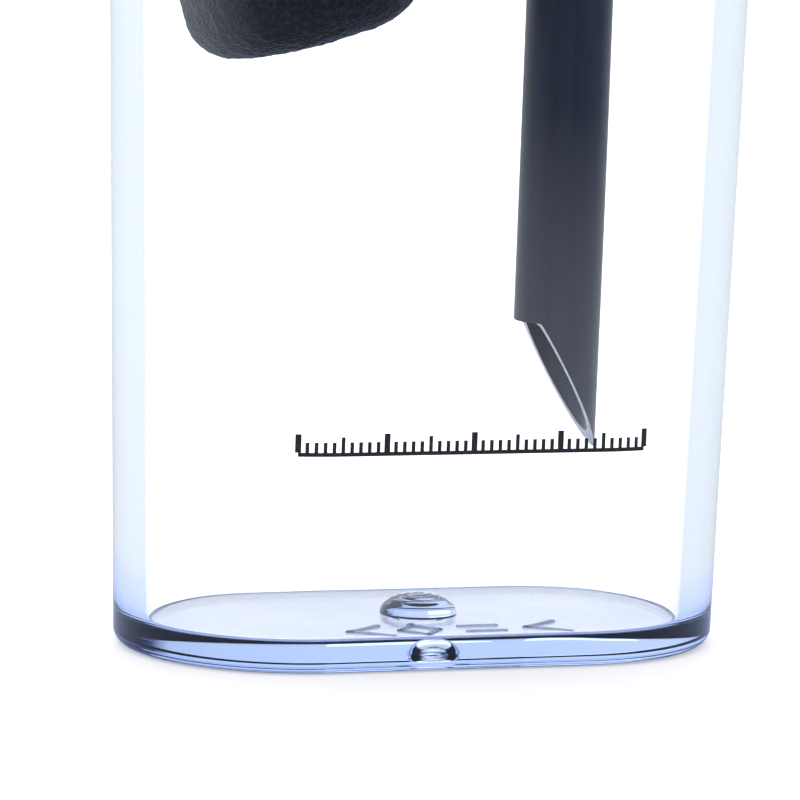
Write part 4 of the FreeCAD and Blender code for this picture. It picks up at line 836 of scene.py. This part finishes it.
# %% Finishes on the frame's own parts
FINISHES = {
    "cup_lid": CHARCOAL, "pump_base": CHARCOAL, "motor_housing": CHARCOAL, "top_cap": CHARCOAL,
    "suction_bracket": CHARCOAL, "foam_spigot": CHARCOAL, "eye_plate": CHARCOAL, "rotor_can": CHARCOAL,
    "intake_strainer": FITTING, "flow_slider": FITTING, "cap_seal": RUBBER, "can_seal": RUBBER,
    "lower_bush": RUBBER, "upper_bush": RUBBER, "nozzle_seal": RUBBER, "riser_grommet": RUBBER,
    "lid_seal": SILICONE, "impeller": NYLON, "coil_bobbin": NYLON, "pump_shaft": CERAMIC,
    "rotor_magnet": FERRITE, "stator_core": CORE, "stator_coil": COPPER, "gas_pipe": STEEL,
    "lid_screws": STEEL, "housing_screws": STEEL,
}
BEVELS = {
    "cup_lid": 0.4, "pump_base": 0.4, "motor_housing": 0.35, "top_cap": 0.25, "suction_bracket": 0.4,
    "intake_strainer": 0.12, "flow_slider": 0.15, "housing_screws": 0.12, "lid_screws": 0.12,
    "impeller": 0.12, "coil_bobbin": 0.1, "rotor_magnet": 0.25, "stator_core": 0.12,
}


def finish_node(name, finish):
    """Puts a finish in every material slot of a part."""
    part = nodes[name]
    for place in part.material_slots:
        place.material = finish
    if not part.material_slots:
        raise RuntimeError("no material slot on " + name)


def bevel_node(name, width):
    bevel = nodes[name].modifiers.new("eased_edges", "BEVEL")
    bevel.width, bevel.segments = width * MM, 3
    bevel.limit_method, bevel.angle_limit = "ANGLE", math.radians(40)
    bevel.harden_normals = True


for part_name, part_finish in FINISHES.items():
    finish_node(part_name, part_finish)
for part_name, edge in BEVELS.items():
    bevel_node(part_name, edge)
print("finished", len(FINISHES), "parts,", len(BEVELS), "with eased edges")

# %% [markdown]
# ## Turned shapes
# The suction cups, the cable boot, the barb and its nut are all shapes that a lathe could
# make, so one helper spins an outline round an axis. The outline has only the corners that
# matter, and each corner is then eased by a short curve.

# %% A lathe in code


def eased(outline, reach_limit, closed=False):
    """The same outline in millimetres, with each corner turned into a short curve."""
    points = [Vector(p) for p in outline]
    if closed:
        points = [points[-1], *points, points[0]]
    soft = [] if closed else [points[0]]
    for before, corner, after in zip(points, points[1:], points[2:]):
        reach = min(reach_limit, (before - corner).length * 0.45, (after - corner).length * 0.45)
        start = corner + (before - corner).normalized() * reach
        end = corner + (after - corner).normalized() * reach
        for step in range(5):
            t = step / 4
            soft.append(start * (1 - t) ** 2 + corner * (2 * t * (1 - t)) + end * t ** 2)
    return soft if closed else [*soft, points[-1]]


def spin(outline, foot, turned=Matrix(), steps=120, shape=None, hollow=True):
    """Spins (radius, height) points round Z, then turns and moves the result."""
    bm = bmesh.new()
    loops = []
    for radius, height in outline:
        loop = []
        for step in range(steps):
            angle = 2 * math.pi * step / steps
            reach = shape(radius, angle, height) if shape else radius
            spot = Vector((reach * math.cos(angle), reach * math.sin(angle), height)) * MM
            loop.append(bm.verts.new(foot + turned @ spot))
        loops.append(loop)
    join_loops(bm, loops + [loops[0]] if hollow else loops, close_ends=not hollow)
    return bm


def middle_of(node):
    low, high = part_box(node)
    return (low + high) / 2


# %% [markdown]
# ## Suction cups
# Soft clear vinyl. The lip is thin and a little flared, the back is a thick dome, and a neck
# with a mushroom knob snaps through the bracket. They face the glass, so the spin axis, which
# is Z in the outline, is turned to +Y.

# %% Suction cups
NECK, KNOB_HEIGHT, CUP_REACH, CUP_RISE = 2.2, 1.9, 11.0, 6.6
SUCTION_OUTLINE = [
    (0.05, -NECK - KNOB_HEIGHT), (1.5, -NECK - KNOB_HEIGHT), (2.5, -NECK - 1.3), (2.95, -NECK - 0.02),
    (1.98, -NECK), (1.98, -0.05), (4.4, -0.02), (4.9, 0.6), (5.4, 1.9), (7.2, 3.2), (9.1, 4.6),
    (10.5, 5.7), (CUP_REACH - 0.02, 6.25), (CUP_REACH - 0.05, CUP_RISE), (9.6, 5.9), (7.6, 5.0), (5.9, 4.1),
    (4.2, 3.35), (2.1, 3.0), (0.05, 2.95)]


def lip_rings(radius, angle, height):
    """Faint rings moulded in the lip."""
    return radius + 0.04 * math.sin(height * 9) if radius > 5 else radius


for side in ("left", "right"):
    node = "suction_cup_" + side
    spot = middle_of(node)
    back = Vector((spot.x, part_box(node)[0].y + (NECK + KNOB_HEIGHT) * MM, spot.z))
    bm = spin(eased(SUCTION_OUTLINE, 0.5), back, Matrix.Rotation(math.radians(-90), 3, "X"),
              shape=lip_rings, hollow=False)
    sucker = mesh_piece("vinyl_cup_" + side, bm, VINYL, "bracket", smooth_angle=50)
    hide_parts(node)

# %% [markdown]
# ## Cable boot, barb and nut
# The boot is ribbed so that it bends evenly. The barb has three sharp teeth that hold the gas
# hose, and its nut has grip flutes all round, cut here by making the radius depend on the
# angle while the outline is spun.

# %% Cable boot
boot_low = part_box("cable_gland")[0]
PLUG_DEPTH, BOOT_HEIGHT, BOOT_FLANGE, RIBS = 3.0, 13.0, 3.6, 4


def boot_outline():
    outline = [(1.62, -PLUG_DEPTH), (2.6, -PLUG_DEPTH), (2.6, 0.0), (BOOT_FLANGE, 0.0), (BOOT_FLANGE, 1.4)]
    pitch = (BOOT_HEIGHT - 1.4) / RIBS
    for rib in range(RIBS):
        reach = 2.5 + 0.7 * (1 - rib / RIBS)
        low = 1.4 + pitch * rib
        outline += [(reach - 0.6, low + 0.05), (reach - 0.6, low + pitch * 0.35),
                    (reach, low + pitch * 0.42), (reach, low + pitch)]
    return outline + [(1.62, BOOT_HEIGHT)]


boot_foot = Vector((*middle_of("cable_gland").xy, boot_low.z + PLUG_DEPTH * MM))
boot_bm = spin(eased(boot_outline(), 0.3, closed=True), boot_foot)
boot = mesh_piece("cable_boot", boot_bm, RUBBER, "head", 50)
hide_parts("cable_gland")

# %% Gas barb


def barb_outline():
    outline = [(0.7, 0), (3.4, 0), (3.4, 1.5), (2.9, 1.5), (2.9, 5.0), (1.75, 5.0)]
    for tooth in range(3):
        low = 5.8 + 2.6 * tooth
        outline += [(1.75, low), (2.29, low + 0.3), (1.75, low + 2.4)]
    return outline + [(0.7, 13.4)]


def barb_thread(radius, angle, height):
    """A fine single thread on the boss under the nut."""
    if radius < 2.7 or radius > 3.0 or not 1.7 < height < 4.9:
        return radius
    return radius - 0.07 + 0.07 * math.sin(2 * math.pi * height / 0.8 + angle)


def fine_rows(outline, longest):
    """More points on long straight stretches."""
    rows = []
    for start, end in zip(outline, outline[1:]):
        count = max(1, math.ceil((end - start).length / longest))
        rows += [start.lerp(end, step / count) for step in range(count)]
    return [*rows, outline[-1]]


barb_foot = Vector((*middle_of("gas_barb").xy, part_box("gas_barb")[0].z))
barb_rows = fine_rows(eased(barb_outline(), 0.12, closed=True), 0.2)
barb = mesh_piece("hose_barb", spin(barb_rows, barb_foot, shape=barb_thread), FITTING, "head", 40)
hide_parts("gas_barb")

# %% Hose nut
NUT_OUTLINE = [(2.96, 0), (4.18, 0), (4.18, 5.1), (3.4, 6), (3.1, 6), (2.96, 4.6)]
FLUTES = 12


def flutes(radius, angle, height):
    """Grip flutes that fade out towards the nut's bore."""
    if radius < 3.6:
        return radius
    return radius - 0.32 * max(0.0, math.cos(FLUTES * angle)) ** 3


nut_foot = Vector((*middle_of("barb_nut").xy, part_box("barb_nut")[0].z))
nut_rows = fine_rows(eased(NUT_OUTLINE, 0.25, closed=True), 0.5)
nut = mesh_piece("ribbed_nut", spin(nut_rows, nut_foot, steps=240, shape=flutes), FITTING, "hose_nut", 40)
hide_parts("barb_nut")

# %% [markdown]
# ## The outlet nozzle
# A moulded elbow: up out of its socket, through a quarter bend and forward. It is one skin that
# runs up the outside, round the lip and back down the bore. Each point of its outline is given
# as a distance along the pipe and a radius, and a small function turns a distance into a place
# and a direction.

# %% Outlet nozzle
nozzle_low, nozzle_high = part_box("outlet_nozzle")
NOZZLE_X = middle_of("outlet_nozzle").x
LIP_RADIUS, PIPE_RADIUS, PIPE_BORE, ELBOW = 4.8, 4.2, 3.0, 6.0
PIPE_LEVEL = nozzle_high.z / MM - LIP_RADIUS
RISE = PIPE_LEVEL - ELBOW - nozzle_low.z / MM
BEND = ELBOW * math.pi / 2
RUN = 9.0
END = RISE + BEND + RUN
NOZZLE_OUTLINE = [
    (0, 3.2), (0, 4.5), (2.8, 4.5), (2.8, 3.9), (3.8, 3.9), (3.8, 4.5), (6.0, 4.5), (6.0, 6.1),
    (RISE, 6.1), (RISE, PIPE_RADIUS), (END - 1.4, PIPE_RADIUS), (END - 1.4, LIP_RADIUS),
    (END, LIP_RADIUS), (END, PIPE_BORE), (5.0, PIPE_BORE), (5.0, 3.2)]


def pipe_place(along):
    """Place of the pipe's middle, and which way it points, at a distance along it."""
    if along < RISE:
        return Vector((0, 0, nozzle_low.z / MM + along)), Vector((0, 0, 1))
    if along < RISE + BEND:
        angle = (along - RISE) / ELBOW
        return (Vector((0, -ELBOW + ELBOW * math.cos(angle), PIPE_LEVEL - ELBOW + ELBOW * math.sin(angle))),
                Vector((0, -math.sin(angle), math.cos(angle))))
    return Vector((0, -ELBOW - (along - RISE - BEND), PIPE_LEVEL)), Vector((0, -1, 0))


def make_nozzle_mesh(steps=96):
    bm = bmesh.new()
    loops = []
    for along, radius in fine_rows(eased(NOZZLE_OUTLINE, 0.28, closed=True), 0.5):
        centre, ahead = pipe_place(along)
        side, up = Vector((1, 0, 0)), ahead.cross(Vector((1, 0, 0)))
        loops.append([bm.verts.new((centre + (side * math.cos(a) + up * math.sin(a)) * radius) * MM
                                   + Vector((NOZZLE_X, 0, 0)))
                      for a in (2 * math.pi * step / steps for step in range(steps))])
    join_loops(bm, loops + [loops[0]])
    return bm


nozzle = mesh_piece("swivel_nozzle", make_nozzle_mesh(), FITTING, "nozzle", 40)
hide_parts("outlet_nozzle")
